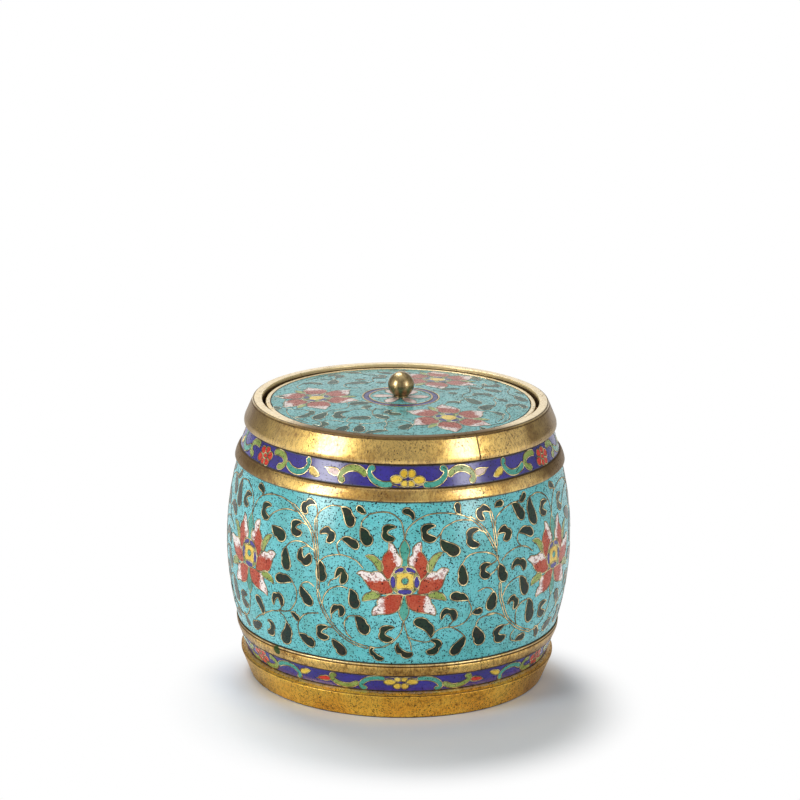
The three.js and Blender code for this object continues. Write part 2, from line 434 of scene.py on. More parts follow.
@dataclass(frozen=True)
class Gilding:
    """Worn gilding on cast bronze: bright where it is rubbed, brown where it has gone, and pitted, with painted
    highlights on its top, raised lines and bore, and painted shade at its sides, in the gap round the lid and
    along some dark lines.
    """

    name: str = "gilding"
    bright: Colour = (0.80, 0.53, 0.13)
    dull: Colour = (0.48, 0.27, 0.042)
    bare_and_shade: Colour = (0.12, 0.055, 0.018)
    wear: float = 0.5
    shine: float = 0.18
    dark_levels: tuple[float, ...] = ()
    dirty_rings: tuple[float, ...] = ()
    joints: tuple[float, ...] = ()
    scratch: float | None = None
    rubbed_and_lit_above: float = NOWHERE
    highlight_level: float = NOWHERE
    bore: float = NOWHERE
    gap_shade_below: float = -NOWHERE
    stain: Spot | None = None
    crowding: float = 0.0
    polish: float = 0.75
    side_shade: float = 0.0

    def make(self) -> bpy.types.Material:
        """Builds the material."""
        paint = Paint(self.name)
        broad = paint.noise(0.05, 4.0, 0.62, 0.6)
        fine = paint.noise(0.6, 5.0, 0.68)
        grit = paint.noise(3.0, 3.0, 0.6)
        brush = paint.noise(1.6, 3.0, 0.7, upright=0.14)
        colour = paint.mix((broad * 0.6 + fine * 0.2 + brush * 0.2).rising(0.42, 0.58), self.bright, self.dull)
        worn = (fine * 0.6 + broad * 0.4).rising(0.58 - 0.08 * self.wear, 0.68 - 0.06 * self.wear)
        colour = paint.mix(worn * 0.7, colour, self.bare_and_shade)
        colour = paint.mix((grit * 0.5 + brush * 0.5).rising(0.47, 0.61) * 0.6, colour, self.bare_and_shade)
        speck = self._specks(paint)
        # Rubbed wear and painted highlights: the pale top, a bright raised line and the cream bore.
        colour = self._rubbed_and_highlights(paint, fine, paint.mix(speck * 0.6, colour, PIT))
        # Painted shade: brown on the left and right sides and on the front of the pale lip.
        side_shade = self._side_shade(paint, broad)
        colour = paint.mix(side_shade, colour, self.bare_and_shade)
        # Dark lines: dirt at joints, and painted shade at the foot's base and on the rim's underside.
        darkening = paint.dark_lines(fine, self.dark_levels, self.joints, self.dirty_rings)
        # Painted shade: the metal in the narrow gap round the lid is darkened.
        darkening = darkening.most(self._gap_shade(paint, fine))
        colour = paint.mix(darkening * 0.9, colour, DIRT_AND_SHADE)
        metal = 1.0 - darkening * 0.3
        # Painted shade: a dull brown sheet over the sides, where no light is mirrored.
        paint.hollow(side_shade * 0.8, SIDE_SHADE_BROWN)
        if self.stain:
            stain = (paint.away(self.stain) + fine * 2.4).falling(2.6, 3.0)
            colour = paint.mix(stain * 0.9, colour, VERDIGRIS)
            metal = metal * (1.0 - stain)
            paint.hollow(stain * 0.8, VERDIGRIS_CRUST)
        paint.hollow(speck * 0.75, PIT)
        rough = self.shine + grit * 0.10 + brush * 0.12 + fine * 0.10 + worn * 0.2 + darkening * 0.25
        height = fine * 0.5 + grit * 0.10 + brush * 0.16 - speck * 0.7 - worn * 0.25 - darkening * 0.4
        clean = (1.0 - worn * 0.7) * (1.0 - darkening) * (1.0 - side_shade) * self.polish
        lacquer = {"Coat_Weight": clean, "Coat_IOR": 1.9, "Coat_Roughness": 0.19}
        return paint.finish(height, 0.06, Base_Color=colour, Metallic=metal, Roughness=rough, **lacquer)

    def _specks(self, paint: Paint) -> Sock:
        """The mask of the pits, which stand close together in places."""
        crowd = paint.noise(0.09, 3.0, 0.6, 0.4).rising(0.46 - self.crowding, 0.60 - self.crowding)
        small = paint.specks(2.0, 0.48, 0.9) * crowd
        return (paint.specks(1.1, 0.32, 0.25 + 0.5 * self.wear) * (0.25 + crowd * 0.75)).most(small)

    def _rubbed_and_highlights(self, paint: Paint, fine: Sock, colour: Sock) -> Sock:
        """Pales the colour: the top, where it is rubbed and carries a painted highlight; a raised line, as a
        painted highlight; the bore over the gap, as a painted cream highlight; and along a scratch.
        """
        pale = (paint.level + (fine - 0.5) * 0.3).rising(self.rubbed_and_lit_above - 0.1, self.rubbed_and_lit_above + 0.1)
        # Painted highlight: a bright line where a bead or bevel catches light.
        line = ((paint.level - self.highlight_level).apply("ABSOLUTE") + (fine - 0.5) * 0.8).falling(0.05, 0.35)
        pale = pale.most(line * 0.7)
        if self.bore < NOWHERE:
            bore = paint.far().falling(self.bore, self.bore + 0.2)
            pale = pale.most(bore)
            # Painted highlight: a dull cream sheet on the bore above the gap.
            paint.hollow(bore * paint.level.rising(self.gap_shade_below, self.gap_shade_below + 0.2) * 0.6, BORE_HIGHLIGHT)
        if self.scratch is not None:
            pale = pale.most(paint.upright_line(fine, self.scratch, 0.1) * 0.8)
        return paint.mix(pale * (0.35 + fine.falling(0.3, 0.75) * 0.65), colour, RUBBED_AND_HIGHLIGHT)

    def _side_shade(self, paint: Paint, broad: Sock) -> Sock:
        """The mask of painted shade: brown on the jar's left and right sides, where little light is mirrored,
        and on the front of the pale lip.
        """
        lip = paint.level.rising(self.rubbed_and_lit_above - 0.5, self.rubbed_and_lit_above)
        aside = paint.x.apply("ABSOLUTE") / paint.far() + (broad - 0.5) * 0.35
        sides = aside.rising(0.74, 0.92) * (1.0 - lip) * self.side_shade
        return sides.most(lip * paint.y.falling(-44.0, -30.0) * 0.8)

    def _gap_shade(self, paint: Paint, fine: Sock) -> Sock:
        """The mask of painted shade: the metal darkened in the narrow gap round the lid."""
        within = (paint.far() + (fine - 0.5) * 0.1).falling(self.bore, self.bore + 0.2)
        return within * paint.level.falling(self.gap_shade_below - 0.1, self.gap_shade_below + 0.1)


@dataclass(frozen=True)
class WireGold:
    """Gilt wire, polished along its top, with dark sides where it meets the glass: a gap there, and painted
    shade.
    """

    name: str = "wire_gold"
    bright: Colour = (0.96, 0.79, 0.42)
    dull: Colour = (0.36, 0.26, 0.11)
    seam_and_shade: Colour = (0.02, 0.018, 0.012)

    def make(self) -> bpy.types.Material:
        """Builds the material."""
        paint = Paint(self.name)
        patchy = paint.noise(0.35, 4.0, 0.6)
        fine = paint.noise(2.2, 2.0, 0.5)
        colour = paint.mix(patchy.rising(0.40, 0.60), self.bright, self.dull)
        # Dark sides of the wire: the gap at the glass, and painted shade.
        side = (paint.attribute("edge") + (fine - 0.5) * 0.6 + (patchy - 0.5) * 0.9).rising(0.22, 0.46)
        colour = paint.mix(side, colour, self.seam_and_shade)
        rough = 0.26 + patchy * 0.16 + side * 0.3
        return paint.finish(fine, 0.02, Base_Color=colour, Metallic=1.0 - side * 0.8, Roughness=rough)


@dataclass(frozen=True)
class Enamel:
    """Fired glass, ground flat and polished, with cloudy colour and pits left by bubbles."""

    name: str
    colour: Colour
    cloud: Colour
    third: Colour
    pits: float = 0.5
    pit_size: float = 0.32
    pit_colour: Colour = (0.008, 0.02, 0.024)
    gloss: float = 0.16
    mirror: float = 0.45
    dark_levels: tuple[float, ...] = ()
    dirty_rings: tuple[float, ...] = ()

    def make(self) -> bpy.types.Material:
        """Builds the material."""
        paint = Paint(self.name)
        broad = paint.noise(0.055, 4.0, 0.62, 0.3)
        other = paint.noise(0.17, 4.0, 0.6)
        fine = paint.noise(1.5, 3.0, 0.6)
        colour = paint.mix((broad * 0.6 + fine * 0.4).rising(0.42, 0.60), self.colour, self.cloud)
        colour = paint.mix((other * 0.7 + fine * 0.3).rising(0.48, 0.64) * 0.75, colour, self.third)
        crowd = (broad * 0.5 + other * 0.5).rising(0.35, 0.6)
        pit = paint.specks(1.7, self.pit_size * 1.25, self.pits) * (crowd * 0.3 + 0.7)
        small = paint.specks(2.4, self.pit_size * 1.15, self.pits * 0.8)
        colour = paint.mix(small, colour, self.pit_colour)
        colour = paint.mix(pit, colour, self.pit_colour)
        darkening = paint.dark_lines(fine, self.dark_levels, (), self.dirty_rings)
        colour = paint.mix(darkening * 0.9, colour, (0.015, 0.014, 0.01))
        rough = self.gloss + fine * 0.12 + darkening * 0.3
        height = other * 0.5 + fine * 0.06 - pit * 0.5 - small * 0.2
        paint.hollow(pit.most(small) * 0.92, self.pit_colour)
        return paint.finish(height, 0.05, Base_Color=colour, Roughness=rough, Specular_IOR_Level=self.mirror)


@dataclass(frozen=True)
class PetalGlass:
    """Brick-red glass that runs into mottled white at the petal's tip."""

    name: str = "petal_glass"
    red: Colour = (0.37, 0.042, 0.017)
    orange: Colour = (0.45, 0.085, 0.036)
    white: Colour = (0.82, 0.74, 0.70)

    def make(self) -> bpy.types.Material:
        """Builds the material."""
        paint = Paint(self.name)
        broad = paint.noise(0.3, 4.0, 0.6)
        fine = paint.noise(1.4, 4.0, 0.65)
        red = paint.mix((broad * 0.5 + fine * 0.5).rising(0.4, 0.64), self.red, self.orange)
        streak = paint.noise(0.7, 3.0, 0.6, 0.8)
        white = paint.mix(streak.rising(0.51, 0.59) * 0.8, self.white, (0.36, 0.15, 0.12))
        tip = (paint.attribute("tip") + (fine - 0.5) * 4.4 + (broad - 0.5) * 2.4).rising(-0.1, 0.8)
        colour = paint.mix(tip, red, white)
        pit = paint.specks(1.5, 0.40, 0.75)
        colour = paint.mix(pit * 0.9, colour, (0.04, 0.015, 0.012))
        rough = 0.2 + fine * 0.15
        paint.hollow(pit * 0.9, (0.04, 0.015, 0.012))
        return paint.finish(
            broad * 0.5 - pit * 0.6, 0.06, Base_Color=colour, Roughness=rough, Specular_IOR_Level=0.3
        )


@dataclass(frozen=True)
class Copper:
    """Beaten copper, dulled to brown inside the jar."""

    name: str = "copper"

    def make(self) -> bpy.types.Material:
        """Builds the material."""
        paint = Paint(self.name)
        broad = paint.noise(0.08, 4.0, 0.6)
        fine = paint.noise(0.9, 4.0, 0.6)
        spacing = {"Vector": paint.place, "Scale": 0.16}
        dents = paint.node("ShaderNodeTexVoronoi", {"feature": "SMOOTH_F1"}, spacing)
        colour = paint.mix(broad.rising(0.35, 0.65), (0.40, 0.19, 0.09), (0.14, 0.075, 0.045))
        colour = paint.mix(fine.rising(0.55, 0.7) * 0.6, colour, (0.08, 0.05, 0.03))
        rough = 0.34 + broad * 0.2 + fine * 0.1
        return paint.finish(dents + fine * 0.1, 0.35, Base_Color=colour, Metallic=1.0, Roughness=rough)


Finish = Gilding | WireGold | Enamel | PetalGlass | Copper


@dataclass
class Palette:
    """Every finish by its slot, each made once."""

    made: dict[str, bpy.types.Material] = field(default_factory=dict)

    def mix_all(self) -> None:
        """Makes the materials."""
        finishes: dict[str, Finish] = {
            "gilt": Gilding(),
            "rim_gilt": Gilding(
                # The dark lines at 90.8 and 91.2 lie on the rim's rounded underside: painted shade.
                "rim_gilding", wear=0.3, dark_levels=(90.8, 91.2, 99.2), dirty_rings=(51.75,), joints=(29.6,),
                scratch=-50.1, rubbed_and_lit_above=99.6, bore=48.85, gap_shade_below=98.85, side_shade=0.5,
            ),
            # Painted shade: the ledge deep in the mouth is gilded dark.
            "shaded_ledge_gilt": Gilding("shaded_ledge_gilding", (0.16, 0.10, 0.035), (0.10, 0.06, 0.02), shine=0.4),
            "edge_gilt": Gilding("edge_gilding", dirty_rings=(45.75,), rubbed_and_lit_above=98.45, gap_shade_below=98.2),
            "shoulder_gilt": Gilding("shoulder_gilding", wear=0.4, dark_levels=(78.8, 83.3), side_shade=0.7),
            "lower_gilt": Gilding(
                "lower_gilding", (0.95, 0.62, 0.15), (0.60, 0.33, 0.055), (0.10, 0.04, 0.012), 0.9, 0.2,
                (16.6, 20.25, 21.3), highlight_level=20.85, stain=(-41.4, -39.4, 19.6), polish=0.4, side_shade=0.4,
            ),
            "foot_gilt": Gilding(
                # The dark line at 0.2 along the foot's base is a painted contact shadow.
                "foot_gilding", (1.0, 0.63, 0.085), (0.95, 0.495, 0.048), (0.20, 0.070, 0.014), 0.45, 0.24,
                (0.2, 9.1), highlight_level=10.05, crowding=0.07, polish=0.15, side_shade=0.3,
            ),
            "knop_gilt": Gilding(
                "knop_gilding", (0.44, 0.32, 0.13), (0.25, 0.17, 0.06), (0.10, 0.06, 0.022), 0.7, 0.15,
                polish=0.4,
            ),
            "cloison_wire": WireGold(),
            "lid_wire": WireGold("lid_wire_gold", (0.80, 0.74, 0.52), (0.26, 0.25, 0.16), (0.05, 0.08, 0.07)),
            "copper": Copper(),
            "turquoise_enamel": Enamel(
                "turquoise_glass", (0.085, 0.45, 0.465), (0.14, 0.53, 0.565), (0.075, 0.35, 0.335), 1.0, 0.38,
                gloss=0.19, mirror=0.75, dark_levels=(21.4, 78.6),
            ),
            "lid_turquoise": Enamel(
                "lid_turquoise_glass", (0.085, 0.37, 0.36), (0.15, 0.43, 0.43), (0.09, 0.24, 0.20), 1.0, 0.40,
                dirty_rings=(45.75, 13.5, 10.85),
            ),
            "lid_dark": Enamel(
                "lid_dark_glass", (0.014, 0.060, 0.045), (0.035, 0.085, 0.055), (0.030, 0.035, 0.020), 0.8,
                0.30, (0.003, 0.004, 0.004), mirror=0.15,
            ),
            "lid_cobalt": Enamel(
                "lid_cobalt_glass", (0.028, 0.022, 0.15), (0.045, 0.045, 0.20), (0.05, 0.06, 0.11), 0.8, 0.3,
                mirror=0.25, dirty_rings=(11.25, 13.15),
            ),
            "lid_petal": PetalGlass(
                "lid_petal_glass", (0.26, 0.045, 0.024), (0.38, 0.09, 0.050), (0.68, 0.60, 0.56)
            ),
            Glass.COBALT.value: Enamel(
                "cobalt_glass", (0.019, 0.011, 0.18), (0.030, 0.020, 0.26), (0.022, 0.014, 0.12), 0.6, 0.3,
                (0.01, 0.008, 0.02), mirror=0.7, dark_levels=(10.5, 16.4, 83.6, 90.5),
            ),
            Glass.DARK.value: Enamel(
                "dark_green_glass", (0.003, 0.020, 0.016), (0.014, 0.034, 0.014), (0.026, 0.016, 0.010), 0.6,
                0.3, (0.003, 0.004, 0.004), mirror=0.25,
            ),
            Glass.OLIVE.value: Enamel(
                "olive_glass", (0.22, 0.31, 0.048), (0.33, 0.40, 0.11), (0.15, 0.20, 0.03), 0.7, 0.34
            ),
            Glass.TEAL.value: Enamel(
                "teal_glass", (0.035, 0.27, 0.20), (0.08, 0.36, 0.28), (0.03, 0.19, 0.13), 0.7, 0.34
            ),
            Glass.YELLOW.value: Enamel(
                "yellow_glass", (0.70, 0.47, 0.035), (0.76, 0.55, 0.09), (0.50, 0.30, 0.02), 0.5, 0.3,
                (0.08, 0.04, 0.01),
            ),
            Glass.WHITE.value: Enamel(
                "pale_pink_glass", (0.58, 0.38, 0.34), (0.68, 0.56, 0.50), (0.42, 0.22, 0.20), 0.6, 0.3,
                (0.2, 0.1, 0.08),
            ),
            Glass.RED.value: PetalGlass(),
            "band_red": PetalGlass("band_red_glass", (0.52, 0.028, 0.016), (0.60, 0.060, 0.030)),
        }
        self.made = {slot: finish.make() for slot, finish in finishes.items()}


# Surfaces and turned work


def span(node: str) -> tuple[float, float, float]:
    """A solid's lowest and highest level and its largest radius, in millimetres."""
    low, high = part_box(node)
    return low[2] / MM, high[2] / MM, high[0] / MM


def wobble(angle: float, level: float, size: float) -> float:
    """The unevenness that hand work leaves, as a slow wave round the axis."""
    return size * (
        0.55 * math.sin(2.0 * angle + 0.7 + level * 0.03)
        + 0.35 * math.sin(5.0 * angle + 1.9 - level * 0.05)
        + 0.22 * math.sin(11.0 * angle + 0.3 + level * 0.11)
    )


def spread(first: float, last: float, spacing: float = 1.5) -> list[float]:
    """Values from one to another, evenly spread and no further apart than the spacing."""
    count = max(2, math.ceil(abs(last - first) / spacing))
    return [first + (last - first) * i / count for i in range(count + 1)]


@dataclass(frozen=True)
class Barrel:
    """The vessel's curved side. A place on it is millimetres round the belly and millimetres up."""

    belly_r: float
    middle: float
    stave_r: float = 109.4

    def radius(self, level: float) -> float:
        """Radius at a level."""
        return self.belly_r - (self.stave_r - math.sqrt(self.stave_r**2 - (level - self.middle) ** 2))

    def upright(self, low: float, high: float, out: float) -> list[Point]:
        """Points of the curve between two levels, at a distance outside it."""
        return [(self.radius(level) + out, level) for level in spread(low, high)]

    def degrees(self, angle: float) -> float:
        """The distance round the belly for an angle."""
        return math.radians(angle) * self.belly_r


@dataclass(frozen=True)
class Crown:
    """The lid's slightly domed face. A place on it is millimetres across and in depth."""

    edge_r: float
    edge_level: float
    rise: float

    def level(self, r: float) -> float:
        """Height of the face at a radius."""
        return self.edge_level + self.rise * (1 - (r / self.edge_r) ** 2)

    def across(self, inner: float, outer: float, out: float) -> list[Point]:
        """Points of the face between two radii, at a height over it."""
        return [(r, self.level(r) + out) for r in spread(inner, outer)]


def bent(guides: Sequence[Vector], share: float) -> Point:
    """The place at a share of a curve from its first guide to its last, bent toward those between."""
    while len(guides) > 1:
        guides = [a.lerp(b, share) for a, b in zip(guides, guides[1:])]
    return tuple(guides[0])


def rounded(corners: Sequence[Corner], steps: int) -> list[Point]:
    """Rounds the corners of a closed outline.

    Args:
        corners: Radius, level and the reach of each corner's rounding.
        steps: Pieces of each rounding.

    Returns:
        The outline's points.
    """
    outline: list[Point] = []
    for index, (r, level, reach) in enumerate(corners):
        here = Vector((r, level))
        before = Vector(corners[index - 1][:2]) - here
        after = Vector(corners[(index + 1) % len(corners)][:2]) - here
        reach = min(reach, before.length * 0.49, after.length * 0.49)
        if reach <= 0:
            outline.append((r, level))
            continue
        start, end = here + before.normalized() * reach, here + after.normalized() * reach
        outline += [bent((start, here, end), step / steps) for step in range(steps + 1)]
    return outline


@dataclass
class Turned:
    """A piece turned on the jar's axis, a little uneven as hand work is."""

    name: str
    outline: Sequence[Point]
    uneven: float = 0.05
    facets: int = 288

    def mesh(self) -> bpy.types.Mesh:
        """Sweeps the outline round the axis.

        Returns:
            The closed mesh, its faces outward.
        """
        outline = list(self.outline)
        area = sum(a[0] * b[1] - b[0] * a[1] for a, b in zip(outline, outline[1:] + outline[:1]))
        if area < 0:
            outline.reverse()
        lowest = min(level for _, level in outline)
        points: list[Vector] = []
        rings: list[list[int]] = []
        for r, level in outline:
            if r < 1e-6:
                rings.append([len(points)] * self.facets)
                points.append(Vector((0.0, 0.0, level)) * MM)
                continue
            rings.append(list(range(len(points), len(points) + self.facets)))
            for step in range(self.facets):
                angle = math.tau * step / self.facets
                far = r + wobble(angle, level, self.uneven)
                lift = wobble(angle + 1.1, r, self.uneven * 0.6) * min(1.0, level - lowest)
                points.append(Vector((far * math.sin(angle), -far * math.cos(angle), level + lift)) * MM)
        faces: list[list[int]] = []
        for low, high in zip(rings, rings[1:] + rings[:1]):
            for step in range(self.facets):
                after = (step + 1) % self.facets
                face = [low[step], low[after], high[after], high[step]]
                face = [v for i, v in enumerate(face) if v != face[i - 1]]
                if len(face) > 2:
                    faces.append(face)
        mesh = bpy.data.meshes.new(self.name)
        mesh.from_pydata(points, [], faces)
        mesh.shade_smooth()
        mesh.set_sharp_from_angle(angle=math.radians(40.0))
        return mesh

    def build(self, palette: Palette, body: str, slot: str, node: str, finish: str = "") -> None:
        """Makes the piece and settles it.

        Args:
            palette: The finishes.
            body: The body that carries it.
            slot: Its material slot.
            node: The solid that it replaces.
            finish: The palette's finish, if it isn't the slot's own.
        """
        mesh = self.mesh()
        mesh.materials.append(palette.made[finish or slot])
        settle(place_object(self.name, mesh), body, slot, node)


# Drawn lines


def places(row: Row) -> tuple[Point, ...]:
    """The places in a row of numbers, two numbers for each."""
    return tuple(zip(row[::2], row[1::2]))


def smooth_line(points: Sequence[Point], spacing: float, closed: bool = False) -> list[Point]:
    """A smooth curve through points.

    Args:
        points: The points that it passes through.
        spacing: The distance between samples.
        closed: Whether it runs on from the last point to the first.

    Returns:
        The samples. Those of a closed curve don't repeat the first.
    """
    spots = [Vector(p) for p in points]
    before = spots[-1] if closed else spots[0] * 2 - spots[1]
    after = spots[:2] if closed else [spots[-1] * 2 - spots[-2]]
    guides = [before, *spots, *after]
    line: list[Point] = []
    for a, b, c, d in zip(guides, guides[1:], guides[2:], guides[3:]):
        steps = max(1, round((c - b).length / spacing))
        for step in range(steps):
            t = step / steps
            spot = 0.5 * (
                2 * b + (c - a) * t + (2 * a - 5 * b + 4 * c - d) * t**2 + (3 * b - a - 3 * c + d) * t**3
            )
            line.append((spot.x, spot.y))
    if not closed:
        line.append(tuple(spots[-1]))
    return line


def ribbon(line: Sequence[Point], left: Reach, right: Reach) -> list[Point]:
    """The outline of a stroke along a line.

    Args:
        line: The stroke's middle line.
        left: Its reach to the left at a share of its length.
        right: Its reach to the right.

    Returns:
        The closed outline, without a repeated point.
    """
    spots = [Vector(p) for p in line]
    lengths = [0.0]
    for a, b in zip(spots, spots[1:]):
        lengths.append(lengths[-1] + (b - a).length)
    sides: tuple[list[Point], list[Point]] = ([], [])
    for index, spot in enumerate(spots):
        ahead = spots[min(index + 1, len(spots) - 1)] - spots[max(index - 1, 0)]
        across = Vector((-ahead.y, ahead.x)).normalized()
        t = lengths[index] / lengths[-1]
        sides[0].append(tuple(spot + across * left(t)))
        sides[1].append(tuple(spot - across * right(t)))
    return [tuple(spots[0]), *sides[1][1:-1], tuple(spots[-1]), *sides[0][-2:0:-1]]


def grown(outline: Sequence[Point], by: float) -> list[Point]:
    """Moves a closed outline outward."""
    spots = [Vector(p) for p in outline]
    turn = sum(a.cross(b) for a, b in zip(spots, spots[1:] + spots[:1]))
    sign = 1.0 if turn > 0 else -1.0
    moved = []
    for before, spot, after in zip([spots[-1], *spots], spots, [*spots[1:], spots[0]]):
        ahead = (after - before).normalized()
        moved.append(tuple(spot + Vector((ahead.y, -ahead.x)) * by * sign))
    return moved


# The greatest value of t^0.9 (1 - t)^0.5, by which a leaf's width is divided.
LEAF_FULLNESS = 0.4016


@dataclass(frozen=True)
class Leaf:
    """A leaf, pointed where its stem comes in and round at the far end."""

    tip: Point
    waist: Point
    heel: Point
    width: float

    def outline(self) -> list[Point]:
        """Its closed outline."""
        start, end = Vector(self.tip), Vector(self.heel)
        bend = Vector(self.waist) * 2 - (start + end) / 2
        turns_left = (bend - start).cross(end - bend) > 0
        shares = [1 - (1 - i / 15) ** 1.6 for i in range(16)]
        line = [bent((start, bend, end), t) for t in shares]
        half = self.width / 2 / LEAF_FULLNESS

        def reach(t: float) -> float:
            """Half its width at a share of its length."""
            return half * t**0.9 * math.sqrt(max(0.0, 1 - t))

        def notched(t: float) -> float:
            """The outer half, a little fuller and parted in two."""
            return reach(t) * (1.14 - 0.3 * math.exp(-(((t - 0.52) / 0.09) ** 2)))

        return ribbon(line, reach, notched) if turns_left else ribbon(line, notched, reach)


@dataclass(frozen=True)
class Hook:
    """A leaf curled into a hook, its back parted into two lobes."""

    start: Point
    back: Point
    end: Point
    width: float

    def outline(self) -> list[Point]:
        """Its closed outline."""
        start, end = Vector(self.start), Vector(self.end)
        half = self.width / 2
        depth = Vector(self.back) - (start + end) / 2
        bend = depth * (1 - half / depth.length) * 1.36
        line = [bent((start, start + bend, end + bend, end), step / 24) for step in range(25)]
        turns_left = depth.cross(end - start) < 0

        def body(t: float) -> float:
            """Fullness at a share of the length: pointed at the stem and blunt at the end."""
            return min(1.0, (t / 0.42) ** 0.8) * min(1.0, ((1 - t) / 0.22) ** 0.5)

        def plain(t: float) -> float:
            """Reach of the inner side."""
            return half * 0.62 * body(t)

        def lobed(t: float) -> float:
            """Reach of the outer side."""
            return half * (1.3 - 0.75 * math.exp(-(((t - 0.5) / 0.075) ** 2))) * body(t)

        return ribbon(line, lobed, plain) if turns_left else ribbon(line, plain, lobed)


@dataclass(frozen=True)
class Curl:
    """A stem of even width with rounded ends, given by a row of places."""

    row: Row
    width: float

    def outline(self) -> list[Point]:
        """Its closed outline."""
        half = self.width / 2

        def reach(t: float) -> float:
            """Half its width at a share of its length."""
            near = min(t, 1 - t) / 0.07
            return half * math.sqrt(1 - (1 - near) ** 2) if near < 1 else half

        return ribbon(smooth_line(places(self.row), 0.4), reach, reach)


@dataclass(frozen=True)
class Shape:
    """A shape drawn freely, by a row of places. Its first place is sharp unless it is round all over."""

    row: Row
    soft: bool = False

    def outline(self) -> list[Point]:
        """Its closed outline."""
        spots = places(self.row)
        return smooth_line(spots, 0.5, True) if self.soft else smooth_line((*spots, spots[0]), 0.5)[:-1]


@dataclass(frozen=True)
class Oval:
    """An oval with its half axes and its tilt in degrees."""

    centre: Point
    half: Point
    tilt: float = 0.0

    def outline(self) -> list[Point]:
        """Its closed outline."""
        count = max(10, round(math.pi * sum(self.half) / 0.55))
        turn = Matrix.Rotation(math.radians(self.tilt), 2)
        centre = Vector(self.centre)
        angles = [math.tau * i / count for i in range(count)]
        spots = [Vector((self.half[0] * math.cos(a), self.half[1] * math.sin(a))) for a in angles]
        return [tuple(centre + turn @ spot) for spot in spots]


Motif = Leaf | Hook | Curl | Shape | Oval
Mover = Callable[[Point], Point]


@dataclass
class Drawing:
    """Flat enamel work: cells of glass, and the wires round them and between them."""

    grow: float = 0.2
    cells: dict[Glass, list[tuple[list[Point], Line | None]]] = field(default_factory=dict)
    lines: dict[Wires, list[tuple[list[Point], bool]]] = field(default_factory=dict)
    move: Mover = lambda spot: spot

    def cell(self, glass: Glass, motif: Motif, family: Wires = Wires.LEAF, tip: Line | None = None) -> None:
        """Draws a cell.

        Args:
            glass: Its colour.
            motif: Its shape.
            family: The wires that its outline joins.
            tip: Two points of the line to whose left a petal is white.
        """
        outline = [self.move(spot) for spot in grown(motif.outline(), self.grow)]
        edge = (self.move(tip[0]), self.move(tip[1])) if tip else None
        self.cells.setdefault(glass, []).append((outline, edge))
        self.lines.setdefault(family, []).append((outline, True))

    def wire(self, points: Sequence[Point], family: Wires = Wires.STEM) -> None:
        """Draws a free wire."""
        line = [self.move(spot) for spot in smooth_line(points, 0.75)]
        self.lines.setdefault(family, []).append((line, False))

    def pair(self, points: Sequence[Point], gap: float) -> None:
        """Draws a stem as two wires side by side.

        Args:
            points: The stem's middle line.
            gap: The distance between the two wires.
        """
        line = smooth_line(points, 0.75)
        outline = ribbon(line, lambda _: gap / 2, lambda _: gap / 2)
        half = len(line) - 1
        for side in (outline[: half + 1], outline[half:] + outline[:1]):
            self.lines.setdefault(Wires.STEM, []).append(([self.move(spot) for spot in side], False))

    @staticmethod
    def _beyond(spot: Point, tip: Line | None) -> float:
        """How far a point lies to the left of a line, or well to its right without one."""
        if tip is None:
            return -9.0
        (ax, ay), (bx, by) = tip
        return ((bx - ax) * (spot[1] - ay) - (by - ay) * (spot[0] - ax)) / math.hypot(bx - ax, by - ay)

    def slab(self, glass: Glass, top: float, bottom: float) -> bpy.types.Mesh:
        """Fills the cells of one colour as thin closed slabs.

        Args:
            glass: The colour.
            top: Level of the slabs' faces over the ground, in millimetres.
            bottom: Level of their backs.

        Returns:
            The flat mesh in metres, with a "tip" value on each point.
        """
        points: list[Vector] = []
        faces: list[list[int]] = []
        tips: list[float] = []
        for outline, tip in self.cells[glass]:
            spots, triangles = triangulate(outline)
            base, count = len(points), len(spots)
            points += [Vector((x, y, top)) * MM for x, y in spots]
            points += [Vector((x, y, bottom)) * MM for x, y in spots]
            tips += [self._beyond(spot, tip) for spot in spots] * 2
            faces += [[base + i for i in face] for face in triangles]
            faces += [[base + count + i for i in reversed(face)] for face in triangles]
            edges = {(face[i - 1], face[i]) for face in triangles for i in range(3)}
            for a, b in sorted(edge for edge in edges if edge[::-1] not in edges):
                faces.append([base + b, base + a, base + count + a, base + count + b])
        mesh = bpy.data.meshes.new(glass.value)
        mesh.from_pydata(points, [], faces)
        layer = mesh.attributes.new("tip", "FLOAT", "POINT")
        layer.data.foreach_set("value", tips)
        return mesh

    def strings(self, families: Iterable[Wires]) -> bpy.types.Mesh:
        """The wires of some families as a mesh of edges, flat and in metres."""
        points: list[Vector] = []
        edges: list[tuple[int, int]] = []
        for family in families:
            for line, closed in self.lines.get(family, []):
                base = len(points)
                points += [Vector((x, y, 0.0)) * MM for x, y in line]
                edges += [(base + i, base + i + 1) for i in range(len(line) - 1)]
                if closed:
                    edges.append((base + len(line) - 1, base))
        mesh = bpy.data.meshes.new("strings")
        mesh.from_pydata(points, edges, [])
        return mesh


